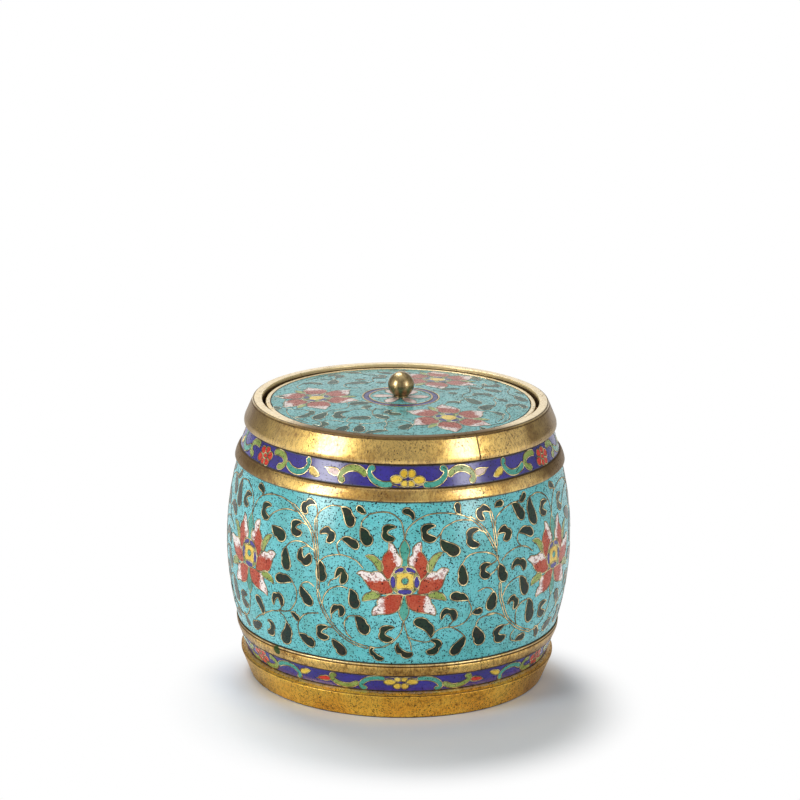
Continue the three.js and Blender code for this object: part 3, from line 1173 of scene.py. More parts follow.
def triangulate(outline: Sequence[Point], spacing: float = 1.5) -> tuple[list[Point], list[list[int]]]:
    """Fills an outline with triangles no larger than its spacing.

    Args:
        outline: The closed outline.
        spacing: The distance between inner points.

    Returns:
        The points and the triangles, which turn left.
    """
    spots = [Vector(p) for p in outline]
    xs, ys = [s.x for s in spots], [s.y for s in spots]
    inner: list[Vector] = []
    rows = range(math.ceil((max(ys) - min(ys)) / spacing))
    columns = range(math.ceil((max(xs) - min(xs)) / spacing))
    for row in rows:
        for column in columns:
            spot = Vector((min(xs) + (column + 0.5 * (row % 2)) * spacing, min(ys) + (row + 0.5) * spacing))
            if inside(spot, spots) and all((spot - s).length > 0.42 * spacing for s in spots):
                inner.append(spot)
    ring = [(i, (i + 1) % len(spots)) for i in range(len(spots))]
    vertices, _, triangles, *_ = delaunay_2d_cdt(spots + inner, ring, [], 1, 1e-5)
    return [tuple(v) for v in vertices], triangles


def inside(spot: Vector, ring: Sequence[Vector]) -> bool:
    """Whether a point lies in a closed ring."""
    hit = False
    for a, b in zip(ring, [*ring[1:], ring[0]]):
        if (a.y > spot.y) != (b.y > spot.y) and spot.x < (b.x - a.x) * (spot.y - a.y) / (b.y - a.y) + a.x:
            hit = not hit
    return hit


# Geometry Nodes that lay flat work onto the jar


class Layer:
    """Recipes that lay cells and wires onto the barrel or onto the lid's crown."""

    def __init__(self, barrel: Barrel, crown: Crown) -> None:
        """Writes the four trees.

        Args:
            barrel: The vessel's side.
            crown: The lid's face.
        """
        self.sizes = {
            "Belly Radius": barrel.belly_r,
            "Stave Radius": barrel.stave_r,
            "Middle": barrel.middle,
            "Edge Radius": crown.edge_r,
            "Edge Level": crown.edge_level,
            "Rise": crown.rise,
        }
        either = (False, True)
        self.recipes = {(on_lid, wires): self._recipe(on_lid, wires) for on_lid in either for wires in either}

    def _recipe(self, on_lid: bool, wires: bool) -> Recipe:
        """Writes one tree.

        Args:
            on_lid: Whether it lays the work onto the lid.
            wires: Whether lines come in, to be drawn out as wire.

        Returns:
            The tree.
        """
        recipe = Recipe("lay_wires" if wires else "lay_cells")
        flat = recipe.geometry
        if wires:
            flat = self._draw_wire(recipe, flat)
        place = recipe.node("GeometryNodeInputPosition")
        laid = self._on_crown(recipe, place) if on_lid else self._on_barrel(recipe, place)
        shaped = recipe.node("GeometryNodeSetPosition", {}, {"Geometry": flat, "Position": laid})
        copies = recipe.input("Copies", "NodeSocketInt")
        one = recipe.node("GeometryNodeGeometryToInstance", {}, {0: shaped})
        twin = recipe.node(
            "GeometryNodeDuplicateElements", {"domain": "INSTANCE"}, {"Geometry": one, "Amount": copies}
        )
        turn = twin.beside("Duplicate Index") * math.tau / copies
        turned = {"Instances": twin, "Rotation": recipe.vector(0.0, 0.0, turn), "Local Space": False}
        recipe.close(recipe.node("GeometryNodeRotateInstances", {}, turned))
        return recipe

    @staticmethod
    def _draw_wire(recipe: Recipe, lines: Sock) -> Sock:
        """Sweeps a low oval section along flat lines, with its sides marked as "edge"."""
        width = recipe.input("Wire Width")
        height = recipe.input("Wire Height")
        section = recipe.node("GeometryNodeCurvePrimitiveCircle", {}, {"Resolution": 8, "Radius": 1.0})
        side = recipe.node("GeometryNodeInputPosition").channel(0).apply("ABSOLUTE")
        marked = recipe.node(
            "GeometryNodeStoreNamedAttribute",
            {"data_type": "FLOAT", "domain": "POINT"},
            {"Geometry": section, "Name": "edge", "Value": side},
        )
        scale = recipe.vector(width / 2, height / 2, 1.0)
        section = recipe.node("GeometryNodeTransform", {}, {"Geometry": marked, "Scale": scale})
        curves = recipe.node("GeometryNodeMeshToCurve", {}, {0: lines})
        upright = recipe.node("GeometryNodeSetCurveNormal", {"mode": "Z_UP"}, {0: curves})
        return recipe.node(
            "GeometryNodeCurveToMesh", {}, {"Curve": upright, "Profile Curve": section, "Fill Caps": True}
        )

    @staticmethod
    def _on_barrel(recipe: Recipe, place: Sock) -> Sock:
        """Where a flat place comes to lie on the barrel."""
        belly, stave = recipe.input("Belly Radius"), recipe.input("Stave Radius")
        middle, out = recipe.input("Middle"), recipe.input("Out")
        first = recipe.input("First Angle")
        level = place.channel(1)
        rise = level - middle
        r = belly - (stave - (stave * stave - rise * rise).apply("SQRT")) + out + place.channel(2)
        angle = place.channel(0) / belly + first
        return recipe.vector(r * angle.apply("SINE"), r * angle.apply("COSINE") * -1.0, level)

    @staticmethod
    def _on_crown(recipe: Recipe, place: Sock) -> Sock:
        """Where a flat place comes to lie on the lid's crowned face."""
        edge_r, edge_level = recipe.input("Edge Radius"), recipe.input("Edge Level")
        rise, out = recipe.input("Rise"), recipe.input("Out")
        x, y = place.channel(0), place.channel(1)
        share = (x * x + y * y) / (edge_r * edge_r)
        level = edge_level + rise * (1.0 - share) + out + place.channel(2)
        return recipe.vector(x, y, level)


# Levels of the enamel work under the solids' outer face, in millimetres.
GROUND = -0.10
CELL_TOP = -0.055
CELL_BACK = -0.45
WIRE_LEVEL = -0.08
LEVEL_STEP = 0.004

# Sizes of the wires, and the glasses whose finish isn't their slot's own.
WIRE_HEIGHT = 0.16
FIELD_WIRES = {Wires.FLOWER: 0.48, Wires.LEAF: 0.60, Wires.STEM: 0.54}
BAND_GLASS = {Glass.RED: "band_red"}
LID_GLASS = {Glass.RED: "lid_petal", Glass.DARK: "lid_dark", Glass.COBALT: "lid_cobalt"}


@dataclass
class Enamelling:
    """Lays one drawing onto the jar, a piece for each colour and each family of wire."""

    layer: Layer
    palette: Palette
    prefix: str
    body: str
    on_lid: bool = False
    out: float = 0.0
    copies: int = 1
    first: float = 0.0
    glasses: Mapping[Glass, str] = field(default_factory=dict)
    gold: str = "cloison_wire"
    wire_width: float = 0.54

    def build(self, drawing: Drawing, split_wires: bool = False) -> None:
        """Makes the pieces.

        Args:
            drawing: The flat work.
            split_wires: Whether each family of wires is a piece of its own.
        """
        for order, glass in enumerate(Glass):
            if glass in drawing.cells:
                mesh = drawing.slab(glass, CELL_TOP + order * LEVEL_STEP, CELL_BACK)
                finish = self.glasses.get(glass, glass.value)
                self._lay(f"{glass.name.lower()}_cells", mesh, finish, glass.value)
        if not split_wires:
            self._lay("wires", drawing.strings(Wires), self.gold, "cloison_wire", self.wire_width)
            return
        for family, width in FIELD_WIRES.items():
            self._lay(family.value, drawing.strings([family]), self.gold, "cloison_wire", width)

    def _lay(self, name: str, mesh: bpy.types.Mesh, finish: str, slot: str, wire: float = 0.0) -> None:
        """Lays flat work onto the jar.

        Args:
            name: What follows the prefix in the piece's name.
            mesh: The flat work.
            finish: Its finish in the palette.
            slot: Its material slot.
            wire: The width of the wire that lines are drawn out to. Cells have none.
        """
        out = self.out + WIRE_LEVEL if wire else self.out
        sizes = {**self.layer.sizes, "Out": out, "Wire Width": wire, "Wire Height": WIRE_HEIGHT}
        values: dict[str, object] = {key: size * MM for key, size in sizes.items()}
        values["Material"] = self.palette.made[finish]
        values["First Angle"] = math.radians(self.first)
        values["Copies"] = self.copies
        piece = self.layer.recipes[(self.on_lid, wire > 0.0)].cook(f"{self.prefix}_{name}", mesh, values)
        settle(piece, self.body, slot)


# The ornament of the turquoise field: lotus flowers among scrolling leaves


# The petals of a lotus: the outline, and two points of the line to whose left it is white.
PETALS = (
    ((
        -5.3, 65.3, -4.0, 64.6, -2.9, 62.8, -2.2, 61.2, -1.0, 59.8, -1.0, 58.4, -1.8, 57.4, -3.2, 57.0,
        -3.5, 55.5, -4.5, 53.9, -5.6, 53.0, -6.8, 54.6, -7.5, 56.5, -7.5, 58.8, -6.9, 60.9, -5.7, 62.3,
        -5.2, 63.6,
    ), ((-5.6, 63.4), (-2.6, 57.0))),
    ((
        5.6, 65.5, 4.3, 65.0, 3.0, 63.5, 3.0, 61.5, 1.6, 60.0, 1.8, 58.0, 3.2, 57.4, 4.2, 55.6, 5.3, 52.6,
        6.0, 53.0, 7.3, 54.5, 8.0, 56.5, 7.8, 58.5, 6.8, 60.8, 5.6, 62.3, 5.7, 64.0,
    ), ((3.4, 57.6), (5.6, 63.4))),
    ((
        -16.0, 54.4, -14.4, 55.2, -12.8, 54.9, -11.0, 54.8, -9.2, 55.2, -7.6, 54.6, -6.4, 53.1, -5.0, 51.4,
        -4.4, 49.8, -4.0, 48.3, -6.0, 47.7, -8.4, 47.9, -10.6, 48.9, -12.0, 50.1, -13.0, 51.6, -14.3, 53.2,
    ), ((-13.4, 51.7), (-6.4, 52.1))),
    ((
        15.2, 55.8, 13.6, 56.4, 12.2, 56.0, 11.0, 55.0, 9.5, 55.2, 8.0, 54.2, 6.8, 53.2, 5.6, 51.8, 5.2, 49.6,
        5.0, 47.7, 7.0, 47.8, 9.3, 48.2, 11.6, 48.9, 12.8, 50.2, 13.4, 52.0, 14.0, 53.9,
    ), ((7.6, 52.7), (13.6, 52.6))),
    ((
        -10.4, 39.7, -10.6, 41.0, -9.9, 42.5, -8.8, 43.3, -8.8, 45.0, -7.6, 46.3, -6.2, 46.5, -4.8, 47.3,
        -2.0, 47.4, -0.5, 47.3, -0.8, 45.5, -1.1, 43.6, -2.0, 42.0, -3.4, 41.0, -5.6, 40.4, -8.0, 40.4,
    ), ((-6.4, 40.0), (-6.7, 47.0))),
    ((
        10.8, 39.8, 10.9, 41.2, 10.2, 43.0, 9.2, 44.3, 8.8, 45.8, 7.7, 46.9, 6.2, 46.9, 4.9, 47.3, 2.4, 47.3,
        0.9, 47.3, 0.9, 45.5, 1.3, 44.1, 2.3, 42.6, 4.1, 41.5, 6.5, 41.0, 9.0, 40.5,
    ), ((6.9, 47.0), (6.6, 40.0))),
)


@dataclass(frozen=True)
class Lotus:
    """A six-petalled lotus seen from the front, its sizes in millimetres about the cell's middle line."""

    centre: Point = (0.3, 52.3)
    disc_r: float = 4.85

    def draw(self, drawing: Drawing) -> None:
        """Draws it."""
        for row, tip in PETALS:
            drawing.cell(Glass.RED, Shape(row), Wires.FLOWER, tip)
        self._sepals(drawing)
        self._heart(drawing)

    @staticmethod
    def _sepals(drawing: Drawing) -> None:
        """Draws the green leaves that show between the petals."""
        for leaf in (
            Leaf((-13.2, 60.5), (-9.8, 59.1), (-7.9, 55.6), 2.0),
            Leaf((13.0, 61.8), (10.0, 59.4), (8.4, 55.4), 2.0),
            Leaf((-14.1, 44.7), (-11.4, 46.6), (-8.2, 46.9), 2.5),
            Leaf((14.4, 45.0), (11.8, 46.8), (8.4, 47.1), 2.3),
        ):
            drawing.cell(Glass.OLIVE, leaf, Wires.FLOWER)
        top = Shape((
            0.0, 66.4, 0.9, 65.0, 1.6, 63.2, 1.3, 61.3, 0.8, 59.7, 0.9, 57.4, -0.8, 57.4, -0.7, 59.7,
            -1.2, 61.3, -1.5, 63.2, -0.9, 65.0,
        ))
        foot = Shape((
            0.1, 37.9, -1.0, 39.6, -1.4, 41.6, -0.8, 44.2, 0.1, 47.2, 0.9, 44.2, 1.6, 41.6, 1.1, 39.6,
        ))
        drawing.cell(Glass.TEAL, top, Wires.FLOWER)
        drawing.cell(Glass.TEAL, foot, Wires.FLOWER)

    def _heart(self, drawing: Drawing) -> None:
        """Draws the disc with its quatrefoil and pads."""
        x, y = self.centre
        drawing.cell(Glass.OLIVE, Oval(self.centre, (self.disc_r, self.disc_r)), Wires.FLOWER)
        lobes: list[float] = []
        for step in range(8):
            angle, r = math.radians(45 * step), 3.75 if step % 2 else 2.7
            lobes += [x + r * math.cos(angle), y + r * math.sin(angle)]
        drawing.cell(Glass.YELLOW, Shape(tuple(lobes), True), Wires.FLOWER)
        for pad in (
            Oval((x - 2.15, y + 3.75), (1.7, 0.9), 22.0),
            Oval((x + 1.95, y + 3.75), (1.7, 0.9), -22.0),
            Oval((x - 4.15, y - 0.4), (0.85, 2.0), 3.0),
            Oval((x + 4.1, y - 0.4), (0.85, 2.0), -3.0),
            Oval((x, y - 3.8), (2.3, 1.0)),
        ):
            drawing.cell(Glass.COBALT, pad, Wires.FLOWER)
        drawing.cell(Glass.TEAL, Oval(self.centre, (1.0, 1.0)), Wires.FLOWER)


@dataclass(frozen=True)
class Scroll:
    """Leaves, hooks and stems in the cell of one flower.

    A leaf's and a hook's row holds its three places and its width, a stem's the places that it passes.
    """

    leaves: tuple[Row, ...]
    hooks: tuple[Row, ...]
    stems: tuple[Row, ...]
    doubles: tuple[Row, ...] = ()

    def draw(self, drawing: Drawing) -> None:
        """Draws them."""
        for motif, rows in ((Leaf, self.leaves), (Hook, self.hooks)):
            for row in rows:
                drawing.cell(Glass.DARK, motif(*places(row), row[-1]))
        for row in self.stems:
            drawing.wire(places(row))
        for row in self.doubles:
            drawing.pair(places(row), 0.85)


# The scroll of the front flower's cell
FIRST_SCROLL = Scroll(leaves=(
    (-22.9, 75.9, -20.2, 73.6, -19.3, 69.9, 3.3), (-22.0, 65.6, -18.9, 64.9, -16.2, 62.9, 2.5),
    (-15.3, 69.9, -13.9, 67.6, -12.3, 64.2, 3.5), (-14.0, 74.8, -15.5, 75.6, -17.0, 76.7, 1.6),
    (-29.6, 57.1, -29.2, 53.6, -28.9, 50.0, 3.4), (-18.4, 48.4, -17.3, 45.8, -17.0, 41.8, 3.3),
    (-16.6, 38.9, -14.3, 36.0, -13.5, 32.4, 3.7), (-25.4, 29.0, -23.5, 26.7, -21.1, 23.8, 3.2),
    (12.6, 66.1, 15.6, 63.0, 19.2, 62.2, 3.6), (20.1, 57.2, 20.3, 53.6, 21.0, 50.0, 3.1),
    (22.5, 44.4, 19.8, 45.7, 16.1, 46.2, 2.7), (9.8, 31.4, 8.3, 35.7, 3.7, 37.6, 3.3),
    (22.1, 30.9, 20.6, 27.8, 17.6, 24.7, 3.4), (26.2, 34.1, 27.2, 31.0, 29.7, 27.3, 3.9),
    (24.6, 39.3, 26.3, 39.6, 28.0, 39.6, 2.0), (32.4, 46.0, 32.0, 43.0, 31.0, 39.6, 3.7),
    (3.0, 73.1, 1.9, 75.4, -0.7, 75.8, 1.7), (20.0, 74.4, 19.2, 75.9, 19.4, 77.9, 1.9),
), hooks=(
    (-30.2, 66.3, -25.6, 67.9, -27.5, 64.0, 2.4), (-3.2, 70.6, -7.9, 68.9, -3.5, 66.8, 2.1),
    (-23.7, 51.7, -20.7, 55.3, -21.8, 50.0, 2.3), (-25.4, 38.6, -22.2, 42.3, -22.2, 38.2, 1.9),
    (-3.2, 35.4, -8.3, 33.1, -3.6, 31.0, 2.3), (-10.1, 27.3, -11.2, 25.0, -6.9, 23.5, 1.6),
    (-26.8, 33.5, -31.5, 31.0, -26.8, 29.8, 2.3), (-1.7, 29.2, -0.8, 25.2, 3.2, 25.8, 2.1),
    (9.8, 30.3, 13.4, 27.8, 8.5, 26.2, 2.3), (13.2, 38.1, 15.8, 41.8, 17.5, 37.3, 2.1),
    (10.7, 70.9, 5.7, 68.8, 11.0, 66.8, 2.3), (27.0, 68.4, 21.9, 66.4, 26.7, 63.4, 2.4),
    (31.0, 55.9, 26.8, 54.4, 30.8, 52.1, 2.3), (32.2, 73.7, 27.3, 75.4, 29.2, 71.5, 2.2),
), stems=(
    (0.0, 66.6, -0.6, 70.2, -1.6, 72.9, -5.0, 75.2, -9.0, 75.4, -13.0, 74.4),
    (-13.0, 74.0, -14.3, 73.0, -15.2, 71.5, -15.3, 69.9),
    (0.0, 66.6, 1.0, 70.0, 4.2, 72.9, 8.5, 74.7, 14.0, 75.0, 20.0, 74.0, 23.5, 72.6),
    (13.2, 69.4, 14.5, 70.5, 19.0, 72.2, 24.0, 71.9), (12.6, 66.1, 12.6, 67.8, 13.3, 69.5),
    (11.2, 66.9, 12.4, 68.0, 13.4, 69.6), (-14.0, 56.2, -17.0, 58.9, -22.0, 60.1, -27.2, 58.9, -29.7, 57.0),
    (-32.1, 71.5, -31.2, 73.4, -29.2, 75.0, -26.5, 76.2, -22.5, 76.2),
    (-22.0, 65.6, -23.5, 63.8, -23.4, 62.0, -22.4, 60.2),
    (20.1, 57.3, 22.1, 59.8, 26.0, 60.7, 31.0, 59.9, 33.4, 58.2),
    (-19.3, 48.6, -22.0, 49.1, -25.5, 47.8, -27.8, 45.0, -28.7, 41.8),
    (-16.6, 38.9, -18.9, 38.6, -20.6, 36.0, -20.0, 32.4, -18.2, 30.4),
    (0.0, 38.0, -0.9, 33.6, -3.3, 30.2, -7.4, 27.8, -12.0, 27.5), (0.0, 38.0, 1.2, 33.4, 2.7, 29.2, 3.1, 26.6),
    (1.9, 31.9, 4.0, 30.7, 8.0, 29.8, 9.8, 30.3), (9.9, 32.2, 12.5, 34.4, 16.5, 34.9, 20.3, 32.8, 22.1, 30.9),
    (17.4, 37.2, 15.7, 35.1), (22.5, 44.4, 24.0, 40.8, 22.5, 37.0, 19.4, 35.2, 15.6, 34.9),
    (23.6, 38.6, 24.6, 39.3), (26.2, 34.1, 26.5, 35.8, 28.4, 37.3, 33.6, 37.8),
    (26.0, 47.0, 29.2, 47.9, 31.6, 47.0, 32.5, 45.6), (27.0, 68.2, 29.8, 66.9),
    (31.0, 55.9, 33.0, 56.6, 34.6, 58.2), (30.8, 52.2, 32.4, 53.2, 34.4, 55.0),
    (-23.7, 51.7, -25.6, 50.6, -26.4, 48.6), (-25.4, 38.6, -25.3, 36.6), (-26.8, 33.6, -24.6, 33.4),
    (-10.1, 27.3, -11.6, 28.0),
), doubles=(
    (23.5, 72.9, 25.8, 71.2, 28.0, 69.2, 30.2, 66.2, 31.8, 63.4, 33.4, 60.2),
    (-30.3, 46.4, -30.1, 50.0, -30.6, 57.0, -31.0, 61.0, -31.6, 65.0, -32.4, 71.5),
    (-30.3, 46.4, -29.4, 42.4, -27.4, 37.8, -24.6, 34.0, -21.0, 30.6, -16.8, 28.4, -12.2, 27.2),
))


# The scroll of the next flower's cell
SECOND_SCROLL = Scroll(leaves=(
    (12.6, 65.1, 16.0, 63.3, 19.4, 62.7, 3.8), (20.0, 59.2, 20.1, 55.2, 21.3, 51.6, 3.4),
    (23.2, 47.7, 19.5, 48.0, 15.8, 46.8, 3.0), (26.9, 46.9, 28.3, 43.8, 31.2, 40.9, 3.3),
    (7.1, 31.4, 6.7, 35.0, 3.7, 37.3, 2.8), (22.2, 36.3, 23.9, 35.2, 25.3, 33.9, 1.7),
    (24.9, 28.7, 27.8, 27.1, 30.8, 25.4, 3.4), (19.5, 31.8, 19.3, 27.6, 16.1, 24.0, 4.0),
    (5.0, 27.4, 1.9, 26.2, -1.4, 24.9, 2.8), (5.1, 74.4, 3.9, 76.0, 1.5, 76.3, 1.8),
    (-22.0, 75.0, -19.3, 72.5, -17.6, 69.0, 3.4), (-12.3, 75.5, -12.8, 71.0, -10.6, 66.4, 3.8),
    (-19.9, 64.8, -16.4, 64.9, -13.1, 62.7, 2.7), (-29.3, 55.5, -28.1, 52.0, -27.2, 49.1, 3.2),
    (-29.7, 75.1, -28.0, 75.9, -26.2, 75.5, 1.7), (-18.2, 75.2, -16.2, 75.8, -15.0, 77.5, 1.6),
    (-20.0, 49.4, -18.0, 46.0, -16.9, 42.2, 3.4), (-14.9, 40.1, -13.6, 36.0, -12.9, 31.0, 4.1),
    (-18.7, 25.0, -16.2, 25.8, -13.9, 25.2, 2.3), (-8.4, 27.8, -6.6, 26.1, -5.7, 23.7, 2.0),
), hooks=(
    (10.8, 71.6, 6.0, 69.6, 10.4, 67.4, 2.2), (25.9, 68.8, 21.5, 66.5, 26.3, 65.4, 2.4),
    (26.8, 60.3, 27.2, 54.9, 30.1, 58.8, 2.6), (30.8, 75.6, 25.9, 75.5, 27.8, 72.5, 2.2),
    (13.8, 37.2, 16.2, 42.0, 17.8, 37.5, 2.0), (9.6, 30.1, 12.6, 27.4, 8.4, 25.8, 2.3),
    (-29.4, 66.0, -24.5, 67.0, -27.1, 63.5, 2.6), (-23.6, 52.6, -20.1, 55.6, -18.4, 51.2, 2.4),
    (-2.2, 72.1, -7.3, 70.7, -3.4, 68.5, 2.0), (-24.9, 40.3, -21.5, 42.3, -22.1, 37.9, 2.0),
    (-2.9, 36.1, -8.1, 34.1, -2.9, 32.3, 2.5), (-25.5, 32.4, -29.7, 29.0, -24.2, 28.2, 2.7),
), stems=(
    (0.4, 66.6, 1.4, 70.0, 4.0, 73.3, 8.0, 74.9, 12.0, 75.6, 17.0, 75.3, 20.5, 74.4),
    (10.4, 67.4, 12.0, 69.2, 15.0, 71.0, 19.0, 72.2, 23.4, 72.0),
    (20.0, 59.2, 21.0, 60.6, 24.0, 62.2, 28.0, 62.1, 31.8, 60.2), (26.8, 60.3, 28.4, 61.2, 30.2, 61.2),
    (25.9, 68.8, 28.6, 68.4), (30.8, 75.6, 31.8, 73.6, 31.7, 71.0),
    (23.2, 47.7, 24.8, 45.0, 24.8, 41.6, 23.2, 38.6, 21.0, 36.4, 17.0, 35.6),
    (26.9, 46.9, 27.8, 48.2, 30.0, 48.8, 32.2, 47.6), (13.0, 34.7, 9.0, 32.8, 4.5, 30.5, 1.6, 28.6),
    (17.8, 37.5, 17.2, 36.2, 15.4, 35.1, 13.0, 34.7),
    (25.4, 33.8, 26.4, 35.2, 28.2, 36.7, 30.5, 37.6, 33.6, 38.1), (25.3, 33.6, 24.6, 31.4, 24.9, 28.7),
    (19.5, 31.8, 18.6, 33.8, 16.4, 35.2), (7.1, 31.4, 7.0, 32.0),
    (-12.3, 75.5, -8.0, 76.1, -4.2, 75.0, -1.6, 73.0, -0.2, 70.4, 0.2, 66.6),
    (-29.6, 71.6, -27.0, 73.4, -22.6, 75.0, -18.0, 75.3),
    (-28.3, 56.5, -25.4, 58.8, -20.5, 60.0, -16.4, 59.1, -13.6, 57.0),
    (-20.0, 65.0, -21.0, 63.4, -20.8, 61.6, -19.4, 60.2), (-20.0, 49.4, -23.2, 48.8, -26.0, 46.8, -27.6, 43.8),
    (-14.9, 40.1, -18.0, 39.6, -20.4, 37.6, -20.7, 34.4, -19.4, 31.0),
    (-0.2, 38.0, -1.2, 33.0, -4.0, 29.0, -7.8, 27.2, -11.4, 27.2),
    (-33.8, 38.0, -30.5, 38.0, -27.6, 36.8, -25.6, 35.2), (-25.5, 32.4, -23.2, 32.6),
    (-18.7, 25.0, -20.8, 25.8, -21.6, 27.9, -20.2, 29.7), (-29.3, 55.5, -30.2, 58.4, -30.2, 61.4),
    (-34.0, 60.0, -31.4, 58.9, -29.5, 56.4), (-29.6, 71.6, -30.6, 68.2, -30.0, 64.6, -29.4, 66.0),
), doubles=(
    (20.5, 74.4, 24.0, 72.5, 27.2, 70.0, 29.8, 67.4, 31.3, 64.4, 32.2, 61.0, 32.6, 57.4),
    (-31.9, 74.2, -31.2, 70.0, -30.7, 65.6, -30.3, 61.4),
    (-28.9, 49.0, -28.6, 44.6, -27.2, 40.2, -24.8, 35.4, -20.6, 31.5, -15.8, 28.8, -10.6, 26.9),
))


# The blue bands


# The height that a band is drawn at, in millimetres.
BAND_HEIGHT = 6.4


@dataclass(frozen=True)
class BlueBand:
    """A running stem of curls and buds between yellow and red flowers, the same to either side.

    Places are millimetres round the belly from the yellow flower, and up from one edge of the band.
    """

    low: float
    high: float
    upright: bool
    stretch: float
    bud: Glass

    def draw(self, barrel: Barrel) -> Drawing:
        """Draws a third of the band.

        Args:
            barrel: The surface that it is for.

        Returns:
            The drawing.
        """
        drawing = Drawing()
        for side in (1, -1):
            drawing.move = self._placed(side * self.stretch)
            self._half(drawing)
        drawing.move = self._placed(1)
        self._flower(drawing, 0.0, Glass.YELLOW)
        self._flower(drawing, barrel.degrees(60.0), Glass.RED)
        return drawing

    def _placed(self, stretch: float) -> Mover:
        """Lays a spot to one side, stretched a little."""

        def place(spot: Point) -> Point:
            """Where one spot lies."""
            share = spot[1] / BAND_HEIGHT if self.upright else 1 - spot[1] / BAND_HEIGHT
            return stretch * spot[0], self.low + (self.high - self.low) * share

        return place

    def _half(self, drawing: Drawing) -> None:
        """Draws what lies between two flowers, to one side of the yellow one."""
        curls = (
            (Glass.TEAL, 1.4, (5.8, 1.0, 9.2, 0.9, 12.4, 1.9, 14.5, 3.9, 14.0, 5.4, 12.5, 5.3)),
            (Glass.OLIVE, 1.5, (15.4, 3.4, 19.0, 5.0, 22.6, 4.8, 25.3, 3.2, 25.3, 1.6, 23.8, 1.3)),
            (Glass.TEAL, 1.4, (50.2, 3.2, 47.6, 1.9, 44.5, 1.4, 41.6, 2.0, 39.8, 3.7, 39.8, 5.2, 41.0, 5.6)),
            (Glass.OLIVE, 1.4, (58.4, 5.0, 55.6, 5.3, 52.6, 4.8, 51.3, 3.3, 52.4, 1.8, 54.9, 1.2)),
        )
        for glass, width, row in curls:
            drawing.cell(glass, Curl(row, width))
        drawing.cell(self.bud, Leaf((31.4, 4.1), (29.0, 3.5), (26.4, 3.4), 1.7))
        drawing.cell(Glass.YELLOW, Leaf((34.3, 1.6), (36.6, 2.3), (38.7, 3.3), 1.7))
        drawing.wire(((31.4, 4.1), (32.4, 4.3)), Wires.LEAF)
        drawing.wire(((0.0, 0.4), (3.0, 0.5), (5.8, 1.0)), Wires.LEAF)

    @staticmethod
    def _flower(drawing: Drawing, at: float, glass: Glass) -> None:
        """Draws a flower of round petals: a spread yellow one or a close red one."""
        petals = (
            (-4.2, 2.5, 2.1, 1.0), (-1.4, 4.1, 1.35, 1.05), (1.5, 4.1, 1.35, 1.05), (4.2, 2.3, 2.1, 1.0),
            (1.2, 1.3, 1.2, 0.8), (-1.2, 1.3, 1.2, 0.8),
        )
        if glass is Glass.RED:
            petals = (
                (-3.2, 2.0, 1.55, 1.15), (-2.0, 4.2, 1.5, 1.05), (0.9, 4.6, 1.4, 0.95), (3.1, 3.3, 1.5, 1.15),
                (1.9, 1.3, 1.5, 0.95), (-0.6, 1.2, 1.2, 0.9), (0.1, 2.9, 1.1, 0.75),
            )
        for x, y, wide, high in petals:
            drawing.cell(glass, Oval((at + x, y), (wide, high)), Wires.FLOWER)


# The lid's ornament


@dataclass(frozen=True)
class LidFlower:
    """A six-petalled flower lying on the lid."""

    centre: Point
    turn: float

    def draw(self, drawing: Drawing) -> None:
        """Draws it."""
        petal = Shape((
            15.2, 2.2, 13.0, 3.1, 11.0, 4.0, 8.4, 4.0, 5.8, 2.8, 4.8, 0.4, 5.4, -2.0, 7.4, -3.5, 9.4, -3.6,
            11.2, -2.9, 12.6, -1.2, 13.8, 0.8,
        ))
        sepal = Leaf((13.8, 0.0), (11.0, 0.0), (8.6, 0.0), 1.8)
        for step in range(6):
            drawing.move = self._mover(step * 60 + 30 + self.turn)
            drawing.cell(Glass.RED, petal, Wires.FLOWER, ((11.2, 4.2), (9.8, -4.2)))
            drawing.move = self._mover(step * 60 + self.turn)
            if step % 2 == 0:
                drawing.cell(Glass.OLIVE, sepal, Wires.FLOWER)
        drawing.move = self._mover(self.turn)
        drawing.cell(Glass.OLIVE, Oval((0, 0), (4.9, 4.9)), Wires.FLOWER)
        drawing.cell(Glass.YELLOW, Oval((0, 0), (2.4, 2.4)), Wires.FLOWER)
        for step in range(5):
            angle = math.radians(step * 72 + 18)
            spot = (3.75 * math.cos(angle), 3.75 * math.sin(angle))
            drawing.cell(Glass.COBALT, Oval(spot, (0.75, 1.5), step * 72 + 18), Wires.FLOWER)

    def _mover(self, degrees: float) -> Mover:
        """Turns a place about the flower's centre and moves it there."""
        turn = Matrix.Rotation(math.radians(degrees), 2)
        centre = Vector(self.centre)
        return lambda spot: tuple(centre + turn @ Vector(spot))


